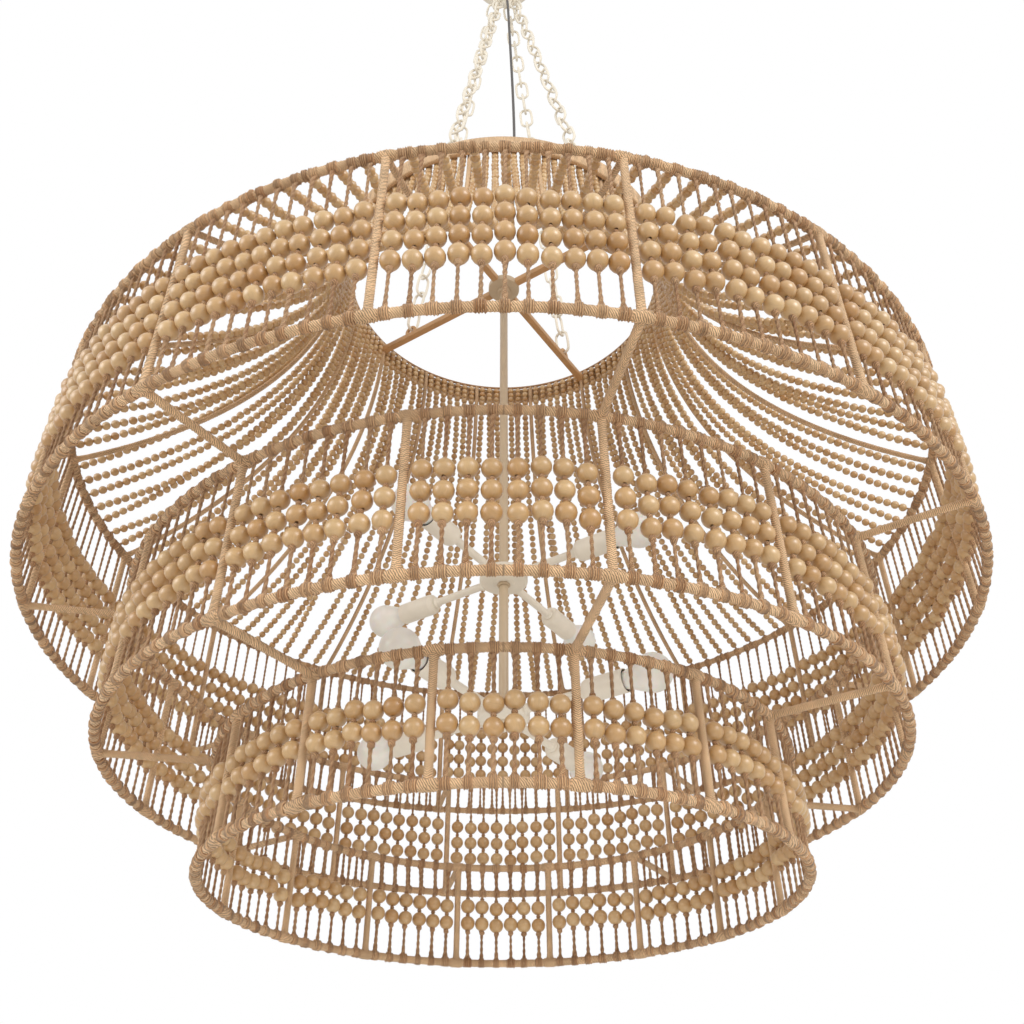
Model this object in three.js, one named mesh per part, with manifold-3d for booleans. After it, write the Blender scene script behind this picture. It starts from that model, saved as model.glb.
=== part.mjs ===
// Beaded chandelier: a domed crown and three stepped tiers of cord-wrapped hoops hung with bead strings,
// carried by four chains, with two four-armed lamp clusters on a central stem.
// Millimetres, +Z up. The origin is on the ceiling, at the middle of the bracket's top face, and the
// whole fixture hangs below it. Angles are measured about Z from -Y, growing towards +X.
import * as THREE from 'three';
import { mergeVertices } from 'three/addons/utils/BufferGeometryUtils.js';
import Module from 'manifold-3d';

const wasm = await Module();
wasm.setup();

// Driving dimensions

const clearance = 0.3;          // running gap between pieces that touch on the real fixture
const overrun = 1;              // how far a cut or a fused end runs past the face it meets

const bays = 16;                // panels around every tier, with one post between each two
const bayAngle = 2 * Math.PI / bays;
const postAngle = bayAngle / 2; // the first post stands half a bay to the right of the front
const hoopSegments = 2 * bays;  // straight lengths that make a hoop
const hoopThickness = 12;       // cord-wrapped rod
const postThickness = 10.5;
const spokeThickness = 10.5;
const spokeEvery = 2;           // every second post also has a spoke to the next tier
const ribThickness = 9;

const beadDiameter = 25;
const stringCordDiameter = 6;   // doubled twine above and below the beads
const knotDiameter = 8;         // twine knot between two beads

const tier1Radius = 750;        // to the middle of the hoops
const tier2Radius = 590;
const tier3Radius = 425;
const tier1Height = 288;        // between the middles of a tier's two hoops
const tier2Height = 226;
const tier3Height = 165;
const tier1BeadPitch = 33.8;
const tier2BeadPitch = 31.4;
const tier3BeadPitch = 29;
const tier1BeadDrop = 103;      // upper hoop to the middle of the first bead
const tier2BeadDrop = 89;
const tier3BeadDrop = 70;

// From the widest tier down. stringsModelled lists which of a bay's strings are solids here.
const tierSizes = [
  { name: 'tier1', radius: tier1Radius, height: tier1Height, strings: 11, beads: 4, beadPitch: tier1BeadPitch,
    firstBeadDrop: tier1BeadDrop, stringsModelled: [5] },
  { name: 'tier2', radius: tier2Radius, height: tier2Height, strings: 8, beads: 3, beadPitch: tier2BeadPitch,
    firstBeadDrop: tier2BeadDrop, stringsModelled: [4] },
  { name: 'tier3', radius: tier3Radius, height: tier3Height, strings: 6, beads: 2, beadPitch: tier3BeadPitch,
    firstBeadDrop: tier3BeadDrop, stringsModelled: [3] },
];

const bandRadius = 352;         // middle of the crown's flat band
const bandHeight = 40;
const bandThickness = 10;
const bandDrop = 1490;          // ceiling to the band's lower edge
const domeHeight = 598;         // band's lower edge to the middle of tier 1's upper hoop
const smallBeadDiameter = 14;
const domeStrings = 7;          // strings of small beads in a bay
const domeStringsModelled = [0, 2, 4, 6];
const domeStringSag = 34;

const spiderHubDiameter = 67;
const spiderHubThickness = 24;
const spiderBar = 14;           // square bar of the four arms
const spiderRise = 8;           // band's lower edge to the arms' lower side
const spiderAngle = -3 * postAngle;
const lugRadius = 15;
const lugThickness = 6;
const lugHoleDiameter = 15;
const lugHoleRise = 2;          // bar's top to the hole's lowest point
const lugPlace = 259;           // from the stem's axis

const linkWire = 6.5;
const linkWidth = 37;
const linkPitch = 55.5;

const canopyDiameter = 206;
const canopyDepth = 42;
const canopyWall = 1.6;
const canopyLip = 1;            // gap to the ceiling
const bracketDiameter = 104;
const bracketThickness = 3;
const bossDiameter = 20;
const bossHeight = 14;
const nippleDiameter = 10;
const nippleInsertion = 10;     // length screwed into the bracket's boss and into the loop's neck
const nippleNutWidth = 18;
const nippleNutHeight = 5;
const collarDiameter = 30;
const collarHeight = 9;
const slotLength = 16;
const slotWidth = 5.5;
const slotPlace = 38;           // from the bracket's middle

const loopWire = 7;
const loopRadius = 17;          // to the middle of the wire
const loopNeckDiameter = 16;
const loopNeckHeight = 16;
const loopSink = 1.75;          // how far the loop's wire sinks into its neck
const ringWire = 7;
const ringRadius = 38;

const cableDiameter = 7;
const cableSteps = 62;          // straight lengths that make the hanging cable
const cableBow = 26;            // how far its slack hangs to the right
const leadBottom = -148;        // end of the fixed lead, beside the gathering ring
const swingGap = 7;             // from the lead to the cable that swings with the chains
const grommetPlace = 27;        // in front of the nipple
const grommetFlange = 16;
const grommetFlangeThickness = 2.5;
const grommetWall = 2.9;

const stemDiameter = 16;
const upperClusterDrop = 743;   // band's lower edge to the middle of the upper cluster hub
const clusterSpacing = 258;
const clusterHubDiameter = 84;
const clusterHubThickness = 22;
const clusterHubChamfer = 2.75;
const nutDiameter = 23;
const nutHeight = 10;
const stemNutHeight = 5;
const finialDiameter = 20;
const finialHeight = 16;
const armDiameter = 13.5;
const armsPerCluster = 4;
const socketDiameter = 37;
const socketLength = 72;
const socketWall = 2;
const socketPlace = 148;        // from the stem's axis to the socket's back
const socketDepth = 30;         // cavity that takes the bulb's cap
const bulbDiameter = 60;
const bulbGlassLength = 78;
const bulbCapDiameter = 27;
const bulbCapLength = 26;
const bulbNeckDiameter = 29;

// Flat faces around each round form
const facets = {
  bracket: 16, slotEnd: 3, nipple: 12, nut: 6, canopy: 16, collar: 12, grommet: 10, neck: 12, loop: 14, ring: 18,
  wire: 6, lugHole: 8, lugEdge: 5, spiderHub: 24, stem: 12, clusterHub: 20, finial: 10, arm: 6, lamp: 8,
  post: 4, string: 3, link: 3, cable: 8,
};

// Materials

const twine = new THREE.MeshStandardMaterial({ name: 'twine', color: 0xc3a074, roughness: 0.9 });
const tanPaint = new THREE.MeshStandardMaterial({ name: 'tan_paint', color: 0xb08d62, roughness: 0.6 });
const whitePaint = new THREE.MeshStandardMaterial({ name: 'white_paint', color: 0xe9e4d8, roughness: 0.5 });
const zincSteel = new THREE.MeshStandardMaterial({
  name: 'zinc_steel', color: 0xb9bab8, roughness: 0.35, metalness: 0.9,
});
const frostedGlass = new THREE.MeshStandardMaterial({ name: 'frosted_glass', color: 0xf3f1ea, roughness: 0.35 });
const darkCable = new THREE.MeshStandardMaterial({ name: 'dark_cable', color: 0x4a4744, roughness: 0.6 });

// Geometry helpers

const up = new THREE.Vector3(0, 0, 1);

// A point at an angle from the front, a distance from the axis and a height.
function polar(angle, radius, z = 0) {
  return new THREE.Vector3(radius * Math.sin(angle), -radius * Math.cos(angle), z);
}

// A hoop is a polygon with its corners between the posts. It lies inside the circle of its corners, so
// they stand out a little, for the right radius on average.
const hoopStep = 2 * Math.PI / hoopSegments;
const hoopCornerShare = 2 / (1 + Math.cos(hoopStep / 2));
function hoopRadiusAt(radius, angle) {
  const fromMiddle = angle - Math.round(angle / hoopStep) * hoopStep;
  return radius * hoopCornerShare * Math.cos(hoopStep / 2) / Math.cos(fromMiddle);
}

function weld(geometry) {
  const bare = new THREE.BufferGeometry();
  bare.setAttribute('position', geometry.getAttribute('position').clone());
  if (geometry.index) bare.setIndex(geometry.index.clone());
  const merged = mergeVertices(bare, 1e-4);
  const kept = [];
  const index = merged.index.array;
  for (let i = 0; i < index.length; i += 3) {
    const [a, b, c] = [index[i], index[i + 1], index[i + 2]];
    if (a !== b && b !== c && c !== a) kept.push(a, b, c);
  }
  merged.setIndex(kept);
  return merged;
}

function signedVolume(geometry) {
  const position = geometry.getAttribute('position');
  const index = geometry.index.array;
  const [a, b, c] = [new THREE.Vector3(), new THREE.Vector3(), new THREE.Vector3()];
  let sum = 0;
  for (let i = 0; i < index.length; i += 3) {
    a.fromBufferAttribute(position, index[i]);
    b.fromBufferAttribute(position, index[i + 1]);
    c.fromBufferAttribute(position, index[i + 2]);
    sum += a.dot(b.cross(c));
  }
  return sum;
}

function facingOut(geometry) {
  if (signedVolume(geometry) >= 0) return geometry;
  const index = Array.from(geometry.index.array);
  for (let i = 0; i < index.length; i += 3) [index[i], index[i + 1]] = [index[i + 1], index[i]];
  geometry.setIndex(index);
  return geometry;
}

// Joins rings of points, with flat ends, or into a closed loop.
function loft(rings, closed = false) {
  const sides = rings[0].length;
  const index = [];
  const spans = closed ? rings.length : rings.length - 1;
  for (let i = 0; i < spans; i += 1) {
    const here = i * sides;
    const next = ((i + 1) % rings.length) * sides;
    for (let j = 0; j < sides; j += 1) {
      const k = (j + 1) % sides;
      index.push(here + j, here + k, next + k, here + j, next + k, next + j);
    }
  }
  if (!closed) {
    const last = (rings.length - 1) * sides;
    for (let j = 1; j < sides - 1; j += 1) index.push(0, j + 1, j, last, last + j, last + j + 1);
  }
  const geometry = new THREE.BufferGeometry().setFromPoints(rings.flat());
  geometry.setIndex(index);
  return facingOut(geometry);
}

function ringOf(centre, across, over, radius, sides, turn = 0) {
  return Array.from({ length: sides }, (_, i) => {
    const angle = turn + 2 * Math.PI * i / sides;
    return centre.clone().addScaledVector(across, radius * Math.cos(angle))
      .addScaledVector(over, radius * Math.sin(angle));
  });
}

// A straight rod from one point to another, with a flat face towards the direction given.
function rod(from, to, radius, sides, towards) {
  const along = to.clone().sub(from).normalize();
  const across = towards.clone().addScaledVector(along, -towards.dot(along)).normalize();
  const over = along.clone().cross(across);
  return loft([from, to].map((end) => ringOf(end, across, over, radius, sides, Math.PI / sides)));
}

// A profile of [radius, height] points turned about Z. It closes on itself or ends on the axis.
function turned(profile, sides) {
  const points = profile.map(([r, z]) => new THREE.Vector2(r, z));
  const geometry = new THREE.LatheGeometry(points, sides);
  return facingOut(weld(geometry.rotateX(Math.PI / 2)));
}

// A closed profile of [distance from the hoop's middle, height] carried round a hoop.
function hoopLike(radius, profile) {
  const corners = profile.map(([out, z]) => [radius * hoopCornerShare + out, z]);
  return turned([...corners, corners[0]], hoopSegments).rotateZ(hoopStep / 2);
}

// A profile turned about a level axis that points outwards at an angle from the front.
function turnedOutwards(profile, sides, angle, z) {
  const geometry = turned(profile, sides);
  geometry.rotateX(Math.PI / 2);
  geometry.rotateZ(angle);
  geometry.translate(0, 0, z);
  return geometry;
}

function solid(geometry) {
  const bare = weld(geometry);
  return new wasm.Manifold(new wasm.Mesh({
    numProp: 3,
    vertProperties: new Float32Array(bare.getAttribute('position').array),
    triVerts: new Uint32Array(bare.index.array),
  }));
}

function fromSolid(manifold) {
  const mesh = manifold.getMesh();
  const geometry = new THREE.BufferGeometry();
  geometry.setAttribute('position', new THREE.BufferAttribute(new Float32Array(mesh.vertProperties), 3));
  geometry.setIndex(Array.from(mesh.triVerts));
  return geometry;
}

function fused(geometries) {
  return fromSolid(geometries.map(solid).reduce((whole, piece) => whole.add(piece)));
}

function cut(geometry, tools) {
  return fromSolid(tools.map(solid).reduce((whole, tool) => whole.subtract(tool), solid(geometry)));
}

const chandelier = new THREE.Group();
chandelier.name = 'beaded_chandelier';

function addPiece(name, geometry, material, parent = chandelier) {
  const mesh = new THREE.Mesh(geometry, material);
  mesh.name = name;
  parent.add(mesh);
  return mesh;
}

// Ceiling bracket: a round plate with two screw slots, and a tapped boss for the nipple

const bossBottom = -bracketThickness - bossHeight;

function slotCutter(side) {
  const half = (slotLength - slotWidth) / 2;
  const outline = new THREE.Shape();
  outline.absarc(half, 0, slotWidth / 2, -Math.PI / 2, Math.PI / 2);
  outline.absarc(-half, 0, slotWidth / 2, Math.PI / 2, 3 * Math.PI / 2);
  const depth = bracketThickness + 2 * overrun;
  const geometry = new THREE.ExtrudeGeometry(outline, { depth, bevelEnabled: false, curveSegments: facets.slotEnd });
  return geometry.translate(side * slotPlace, 0, -bracketThickness - overrun);
}

function ceilingBracket() {
  const bore = nippleDiameter / 2 + clearance;
  const plate = turned([
    [0, 0], [bracketDiameter / 2, 0], [bracketDiameter / 2, -bracketThickness],
    [bossDiameter / 2, -bracketThickness], [bossDiameter / 2, bossBottom],
    [bore, bossBottom], [bore, bossBottom + nippleInsertion], [0, bossBottom + nippleInsertion],
  ], facets.bracket);
  return cut(plate, [slotCutter(1), slotCutter(-1)]);
}
addPiece('ceiling_bracket', ceilingBracket(), zincSteel);

const nippleTop = bossBottom + nippleInsertion - clearance;
const collarTop = -canopyDepth - clearance;
const collarBottom = collarTop - collarHeight;
const neckTop = collarBottom - clearance;
const neckBottom = neckTop - loopNeckHeight;
const nippleBottom = neckTop - nippleInsertion + clearance;

addPiece('mounting_nipple', turned([
  [0, nippleTop], [nippleDiameter / 2, nippleTop], [nippleDiameter / 2, nippleBottom], [0, nippleBottom],
], facets.nipple), zincSteel);

// The nut locks the nipple against the boss.
function ringNut(outer, sides, top, height, boreRadius) {
  const bore = boreRadius / Math.cos(Math.PI / sides);   // the bore's flats clear the nipple
  return turned([[bore, top], [outer, top], [outer, top - height], [bore, top - height], [bore, top]], sides);
}
const nippleBore = nippleDiameter / 2 + clearance;
addPiece('nipple_lock_nut',
  ringNut(nippleNutWidth / 2, facets.nut, bossBottom - clearance, nippleNutHeight, nippleBore), zincSteel);

// Canopy: a spun dish that covers the bracket, held up by the collar

const canopyRadius = canopyDiameter / 2;
const canopyRim = -canopyLip;
const canopyBottom = -canopyDepth;
const grommetBore = cableDiameter / 2 + clearance;
const grommetBarrel = grommetBore + grommetWall;
const shoulderShare = 0.45;     // of the depth, where the side starts to curve in
const turnShares = [0.86, 0.945];   // depth and radius shares of the curve's middle
const floorShare = 0.8;         // of the radius, where the flat underside starts

function canopyCover() {
  const inner = canopyRadius - canopyWall;
  const hole = nippleBore + clearance;
  const floor = canopyBottom + canopyWall;
  const dish = turned([
    [canopyRadius, canopyRim],
    [canopyRadius, canopyBottom * shoulderShare],
    [canopyRadius * turnShares[1], canopyBottom * turnShares[0]],
    [canopyRadius * floorShare, canopyBottom],
    [hole, canopyBottom],
    [hole, floor],
    [inner * floorShare, floor],
    [inner * turnShares[1], floor * turnShares[0]],
    [inner, floor * shoulderShare],
    [inner, canopyRim],
    [canopyRadius, canopyRim],
  ], facets.canopy);
  const cableHole = turned([
    [0, canopyBottom - overrun], [grommetBarrel + clearance, canopyBottom - overrun],
    [grommetBarrel + clearance, floor + overrun], [0, floor + overrun],
  ], facets.grommet);
  return cut(dish, [cableHole.translate(0, -grommetPlace, 0)]);
}
addPiece('canopy_cover', canopyCover(), whitePaint);

addPiece('canopy_collar', ringNut(collarDiameter / 2, facets.collar, collarTop, collarHeight, nippleBore), whitePaint);

// The grommet lines the cable's hole, with a flange under the canopy and a lip above its floor.
function cableGrommet() {
  const flangeTop = canopyBottom - clearance;
  const lipTop = canopyBottom + canopyWall + grommetFlangeThickness;
  const geometry = turned([
    [grommetBore, lipTop], [grommetBarrel, lipTop], [grommetBarrel, flangeTop],
    [grommetFlange / 2, flangeTop], [grommetFlange / 2, flangeTop - grommetFlangeThickness],
    [grommetBore, flangeTop - grommetFlangeThickness], [grommetBore, lipTop],
  ], facets.grommet);
  return geometry.translate(0, -grommetPlace, 0);
}
addPiece('cable_grommet', cableGrommet(), darkCable);

// Loop, gathering ring and chains

const loopCentre = neckBottom - loopRadius + loopSink;
const loopSeat = loopCentre - loopRadius;               // middle of the wire at the loop's bottom

function canopyLoop() {
  const wire = new THREE.TorusGeometry(loopRadius, loopWire / 2, facets.wire, facets.loop);
  wire.rotateY(Math.PI / 2);
  wire.translate(0, 0, loopCentre);
  const neck = turned([
    [0, neckBottom], [loopNeckDiameter / 2, neckBottom], [loopNeckDiameter / 2, neckTop],
    [nippleBore, neckTop], [nippleBore, neckTop - nippleInsertion], [0, neckTop - nippleInsertion],
  ], facets.neck);
  return fused([wire, neck]);
}
addPiece('canopy_loop', canopyLoop(), whitePaint);

// The top of the ring's wire rests on the lowest part of the loop's wire, inside the loop.
const ringCentre = loopSeat + loopWire / 2 + 2 * clearance + ringWire / 2 - ringRadius;
function gatheringRing() {
  const wire = new THREE.TorusGeometry(ringRadius, ringWire / 2, facets.wire, facets.ring);
  wire.rotateX(Math.PI / 2);
  return wire.translate(0, 0, ringCentre);
}
addPiece('gathering_ring', gatheringRing(), whitePaint);

// A link is a six-cornered loop of three-sided wire, with a ridge on its inner side.
const wireCornerShare = 0.68;                           // of the wire, for about its true area
const wireCorner = linkWire * wireCornerShare;
const linkFuseShare = 0.3;                              // of the wire's corner, where two links meet
const barOffset = (linkPitch + wireCorner * (2 - linkFuseShare)) / 2;   // link's middle to its end bar
const linkHalfWidth = linkWidth / 2 - wireCorner / 2;
const linkBarHalf = linkHalfWidth / 2;

function chainLink(centre, along, across) {
  const normal = along.clone().cross(across);
  const corners = [
    [linkBarHalf, barOffset], [-linkBarHalf, barOffset], [-linkHalfWidth, 0],
    [-linkBarHalf, -barOffset], [linkBarHalf, -barOffset], [linkHalfWidth, 0],
  ].map(([a, b]) => centre.clone().addScaledVector(across, a).addScaledVector(along, b));
  const rings = corners.map((corner, i) => {
    const before = corners[(i + 5) % 6].clone().sub(corner).normalize();
    const after = corners[(i + 1) % 6].clone().sub(corner).normalize();
    const outward = before.add(after).negate().normalize();
    const mitre = 1 / Math.sqrt(1 - outward.dot(after) ** 2);
    return ringOf(corner, outward.multiplyScalar(-mitre), normal, wireCorner, facets.link);
  });
  return loft(rings, true);
}

// The chain runs straight between the middles of its first and last bars. It turns a quarter at each
// link, and a little more or less so that both end links lie square to what they hang on.
function chain(start, end, startAcross, endAcross) {
  const along = end.clone().sub(start).normalize();
  const span = start.distanceTo(end);
  const links = Math.round((span + linkPitch - 2 * barOffset) / linkPitch);
  const pitch = (span - 2 * barOffset) / (links - 1);
  const square = (v) => v.clone().addScaledVector(along, -v.dot(along)).normalize();
  const first = square(startAcross);
  const side = along.clone().cross(first);
  const last = square(endAcross);
  let twist = Math.atan2(last.dot(side), last.dot(first)) - (links - 1) * Math.PI / 2;
  twist -= Math.PI * Math.round(twist / Math.PI);
  const pieces = [];
  for (let i = 0; i < links; i += 1) {
    const centre = start.clone().addScaledVector(along, barOffset + i * pitch);
    const turn = i * (Math.PI / 2 + twist / (links - 1));
    const across = first.clone().multiplyScalar(Math.cos(turn)).addScaledVector(side, Math.sin(turn));
    pieces.push(chainLink(centre, along, across));
  }
  return fused(pieces);
}

const bandBottom = -bandDrop;
const bandTop = bandBottom + bandHeight;
const armBottom = bandBottom + spiderRise;
const armTop = armBottom + spiderBar;
const lugHoleHeight = armTop + lugHoleDiameter / 2 + lugHoleRise;
const spiderAngles = [0, 1, 2, 3].map((i) => spiderAngle + i * Math.PI / 2);

// Each chain's upper bar rests on the ring's wire, side by side with the others, and its lower bar
// hangs in the top of its lug's hole.
const barRest = ringWire / 2 + clearance + wireCorner;
const chainSpacing = 0.5;      // radians between two chains on the ring
const ringOrder = spiderAngles.map((angle) => Math.sin(angle));
const lugHoleFlat = lugHoleDiameter / 2 * Math.cos(Math.PI / facets.lugHole);
const lugBarHeight = lugHoleHeight + lugHoleFlat - wireCorner - clearance;

spiderAngles.forEach((angle, i) => {
  const rank = ringOrder.filter((x) => x < ringOrder[i]).length;
  const place = (rank - (spiderAngles.length - 1) / 2) * chainSpacing;
  const onRing = ringRadius - barRest;
  const start = new THREE.Vector3(onRing * Math.sin(place), 0, ringCentre - onRing * Math.cos(place));
  const end = polar(angle, lugPlace, lugBarHeight);
  const tangent = polar(angle + Math.PI / 2, 1);
  addPiece(`chain_${i + 1}`, chain(start, end, new THREE.Vector3(0, 1, 0), tangent), whitePaint);
});

// Spider: four square arms with lugs, on a round hub

const hubRadius = spiderHubDiameter / 2;
const hubTop = armTop;
const hubBottom = hubTop - spiderHubThickness;

function spiderArm() {
  const outline = new THREE.Shape();
  const from = hubRadius + clearance;
  const to = hoopRadiusAt(bandRadius, 0) - bandThickness / 2 - clearance;
  const lugSide = Math.sqrt(lugRadius ** 2 - (lugHoleHeight - armTop) ** 2);
  outline.moveTo(from, armBottom);
  outline.lineTo(to, armBottom);
  outline.lineTo(to, armTop);
  outline.lineTo(from, armTop);
  outline.closePath();
  const bar = new THREE.ExtrudeGeometry(outline, { depth: spiderBar, bevelEnabled: false });
  bar.translate(0, 0, -spiderBar / 2);
  const tab = new THREE.Shape();
  tab.moveTo(lugPlace - lugSide, armTop - overrun);
  tab.lineTo(lugPlace + lugSide, armTop - overrun);
  const start = Math.asin((armTop - lugHoleHeight) / lugRadius);
  tab.absarc(lugPlace, lugHoleHeight, lugRadius, start, Math.PI - start);
  const middle = new THREE.Vector3(lugPlace, lugHoleHeight, 0);
  const xAxis = new THREE.Vector3(1, 0, 0);
  const hole = ringOf(middle, xAxis, up.clone().cross(xAxis), lugHoleDiameter / 2, facets.lugHole);
  tab.holes.push(new THREE.Path(hole));
  const lug = new THREE.ExtrudeGeometry(tab, { depth: lugThickness, bevelEnabled: false, curveSegments: facets.lugEdge });
  lug.translate(0, 0, -lugThickness / 2);
  return fused([bar, lug]);
}

spiderAngles.forEach((angle, i) => {
  const arm = spiderArm().rotateX(Math.PI / 2);
  addPiece(`spider_arm_${i + 1}`, arm.rotateZ(angle - Math.PI / 2), tanPaint);
});

const stemRadius = stemDiameter / 2;
const hubNutTop = hubTop + clearance + nutHeight;
addPiece('spider_hub', turned([
  [0, hubTop], [hubRadius, hubTop], [hubRadius, hubBottom], [0, hubBottom],
], facets.spiderHub), tanPaint);
addPiece('cable_entry_nut', turned([
  [0, hubNutTop], [nutDiameter / 2, hubNutTop], [nutDiameter / 2, hubTop + clearance], [0, hubTop + clearance],
], facets.nut), whitePaint);

// Stem and lamp clusters

const upperCluster = -bandDrop - upperClusterDrop;
const lowerCluster = upperCluster - clusterSpacing;
const halfHub = clusterHubThickness / 2;

function stem(top, bottom) {
  return turned([[0, top], [stemRadius, top], [stemRadius, bottom], [0, bottom]], facets.stem);
}
addPiece('stem_upper', stem(hubBottom - clearance, upperCluster + halfHub + clearance), whitePaint);
const stemNutTop = upperCluster - halfHub - clearance;
const stemNutBottom = stemNutTop - stemNutHeight;
addPiece('stem_nut', turned([
  [0, stemNutBottom], [nutDiameter / 2, stemNutBottom], [nutDiameter / 2, stemNutTop], [0, stemNutTop],
], facets.nut), whitePaint);
addPiece('stem_lower', stem(stemNutBottom - clearance, lowerCluster + halfHub + clearance), whitePaint);

function clusterHub(z) {
  const radius = clusterHubDiameter / 2;
  const chamfer = clusterHubChamfer;
  return turned([
    [0, z + halfHub], [radius - chamfer, z + halfHub], [radius, z + halfHub - chamfer],
    [radius, z - halfHub + chamfer], [radius - chamfer, z - halfHub], [0, z - halfHub],
  ], facets.clusterHub);
}
addPiece('upper_cluster_hub', clusterHub(upperCluster), whitePaint);
addPiece('lower_cluster_hub', clusterHub(lowerCluster), whitePaint);

const finialTop = lowerCluster - halfHub - clearance;
// Shares of its radius and of its height, from the top down: a collar, a waist and a button.
const finialShares = [[0, 0], [1, 0], [1, 0.33], [0.5, 0.5], [0.6, 0.8], [0, 1]];
addPiece('finial', turned(finialShares.map(([out, down]) => [
  out * finialDiameter / 2, finialTop - down * finialHeight,
]), facets.finial), whitePaint);

const armStart = clusterHubDiameter / 2 + clearance;
const socketMouth = socketPlace + socketLength;
const socketRadius = socketDiameter / 2;
const bulbSeat = socketMouth - socketDepth + clearance;
const glassStart = bulbSeat + bulbCapLength;
const bulbTip = glassStart + bulbGlassLength;
const globeRadius = bulbDiameter / 2;
const globeCentre = bulbTip - globeRadius;

const socketBackShare = 0.7;    // of the socket's radius, for the flat of its back
const socketTurnShare = 0.3;    // of the socket's radius, for the length of its bevel
const socketProfile = [
  [0, socketPlace],
  [socketRadius * socketBackShare, socketPlace],
  [socketRadius, socketPlace + socketRadius * socketTurnShare],
  [socketRadius, socketMouth],
  [socketRadius - socketWall, socketMouth],
  [socketRadius - socketWall, socketMouth - socketDepth],
  [0, socketMouth - socketDepth],
];
const globeShares = [[0.82, -0.6], [1, 0.02], [0.66, 0.76]];   // of the globe's radius
const bulbProfile = [
  [0, bulbSeat],
  [bulbCapDiameter / 2, bulbSeat],
  [bulbCapDiameter / 2, glassStart],
  [bulbNeckDiameter / 2, glassStart],
  [bulbNeckDiameter / 2, socketMouth + clearance],
  ...globeShares.map(([out, along]) => [globeRadius * out, globeCentre + globeRadius * along]),
  [0, bulbTip],
];

[upperCluster, lowerCluster].forEach((z, level) => {
  for (let i = 0; i < armsPerCluster; i += 1) {
    const number = level * armsPerCluster + i + 1;
    const angle = spiderAngles[i % spiderAngles.length];
    const arm = rod(polar(angle, armStart, z), polar(angle, socketPlace - clearance, z), armDiameter / 2, facets.arm, up);
    addPiece(`lamp_arm_${number}`, arm, whitePaint);
    addPiece(`lamp_socket_${number}`, turnedOutwards(socketProfile, facets.lamp, angle, z), whitePaint);
    addPiece(`bulb_${number}`, turnedOutwards(bulbProfile, facets.lamp, angle, z), frostedGlass);
  }
});

// Crown: the flat band and sixteen straight ribs, with some of the strings of small beads

const tier1Top = bandBottom - domeHeight;
const hoopFlat = hoopThickness / 2 * Math.sqrt(Math.PI) / 2;   // half the side of a square of the rod's area
const hoopCorner = hoopFlat * Math.SQRT2;

function hoopAt(radius, z) {
  return hoopLike(radius, [
    [-hoopFlat, z - hoopFlat], [hoopFlat, z - hoopFlat], [hoopFlat, z + hoopFlat], [-hoopFlat, z + hoopFlat],
  ]);
}

function crownFrame() {
  const half = bandThickness / 2;
  const band = hoopLike(bandRadius, [[-half, bandBottom], [half, bandBottom], [half, bandTop], [-half, bandTop]]);
  const pieces = [band];
  for (let i = 0; i < bays; i += 1) {
    const angle = postAngle + i * bayAngle;
    const top = polar(angle, hoopRadiusAt(bandRadius, angle), bandBottom + ribThickness);
    const hoop = polar(angle, hoopRadiusAt(tierSizes[0].radius, angle), tier1Top);
    const away = top.clone().sub(hoop).normalize();
    const foot = hoop.addScaledVector(away, hoopCorner + clearance);
    pieces.push(rod(foot, top, ribThickness / 2, facets.post, up));
  }
  for (let i = 0; i < bays; i += 1) {
    for (const place of domeStringsModelled) pieces.push(domeString(stringAngle(i, place, domeStrings)));
  }
  return fused(pieces);
}

// Strings stand one pitch apart, with three quarters of a pitch between the outer ones and the posts.
const endShare = 0.75;
function stringAngle(bay, place, strings) {
  const pitch = bayAngle / (strings - 1 + 2 * endShare);
  return postAngle + bay * bayAngle + (endShare + place) * pitch;
}

// A dome string hangs slack between the hoop and the band. Its top is flattened to enter the band's
// lower face.
function domeString(angle) {
  const radius = smallBeadDiameter / 2;
  const flatShare = (bandThickness / 2 - overrun) / radius;
  const outwards = polar(angle, 1);
  const sideways = polar(angle + Math.PI / 2, 1);
  const top = polar(angle, hoopRadiusAt(bandRadius, angle), bandBottom + overrun);
  const hoop = polar(angle, hoopRadiusAt(tierSizes[0].radius, angle), tier1Top);
  const away = top.clone().sub(hoop).normalize();
  const foot = hoop.clone().addScaledVector(away, hoopCorner + clearance);
  const middle = foot.clone().lerp(top, 1 / 2).addScaledVector(up, -domeStringSag);
  const over = away.clone().cross(sideways).negate();
  return loft([
    ringOf(foot, over, sideways, radius, facets.string),
    ringOf(middle, over, sideways, radius, facets.string),
    ringOf(top, outwards.multiplyScalar(flatShare), sideways, radius, facets.string),
  ]);
}

addPiece('crown_frame', crownFrame(), twine);

// Tiers: an upper hoop with its bead strings, and a lower hoop with its posts and its spokes inwards

// From the hoop down: twine, then beads with knots between them, then twine to the lower hoop.
function beadString(tier, angle, top, bottom) {
  const cord = stringCordDiameter / 2;
  const bead = beadDiameter / 2;
  const knot = knotDiameter / 2;
  const firstBead = top - tier.firstBeadDrop;
  const stations = [[top - hoopFlat + overrun, cord], [firstBead + bead, cord]];
  for (let i = 0; i < tier.beads; i += 1) {
    const centre = firstBead - i * tier.beadPitch;
    stations.push([centre, bead]);
    if (i < tier.beads - 1) stations.push([centre - tier.beadPitch / 2, knot]);
    else stations.push([centre - bead, cord]);
  }
  stations.push([bottom + hoopFlat + clearance, cord]);
  const radius = hoopRadiusAt(tier.radius, angle);
  const outwards = polar(angle, 1);
  const sideways = polar(angle + Math.PI / 2, 1);
  return loft(stations.map(([z, r]) => ringOf(polar(angle, radius, z), outwards, sideways, r, facets.string)));
}

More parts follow.
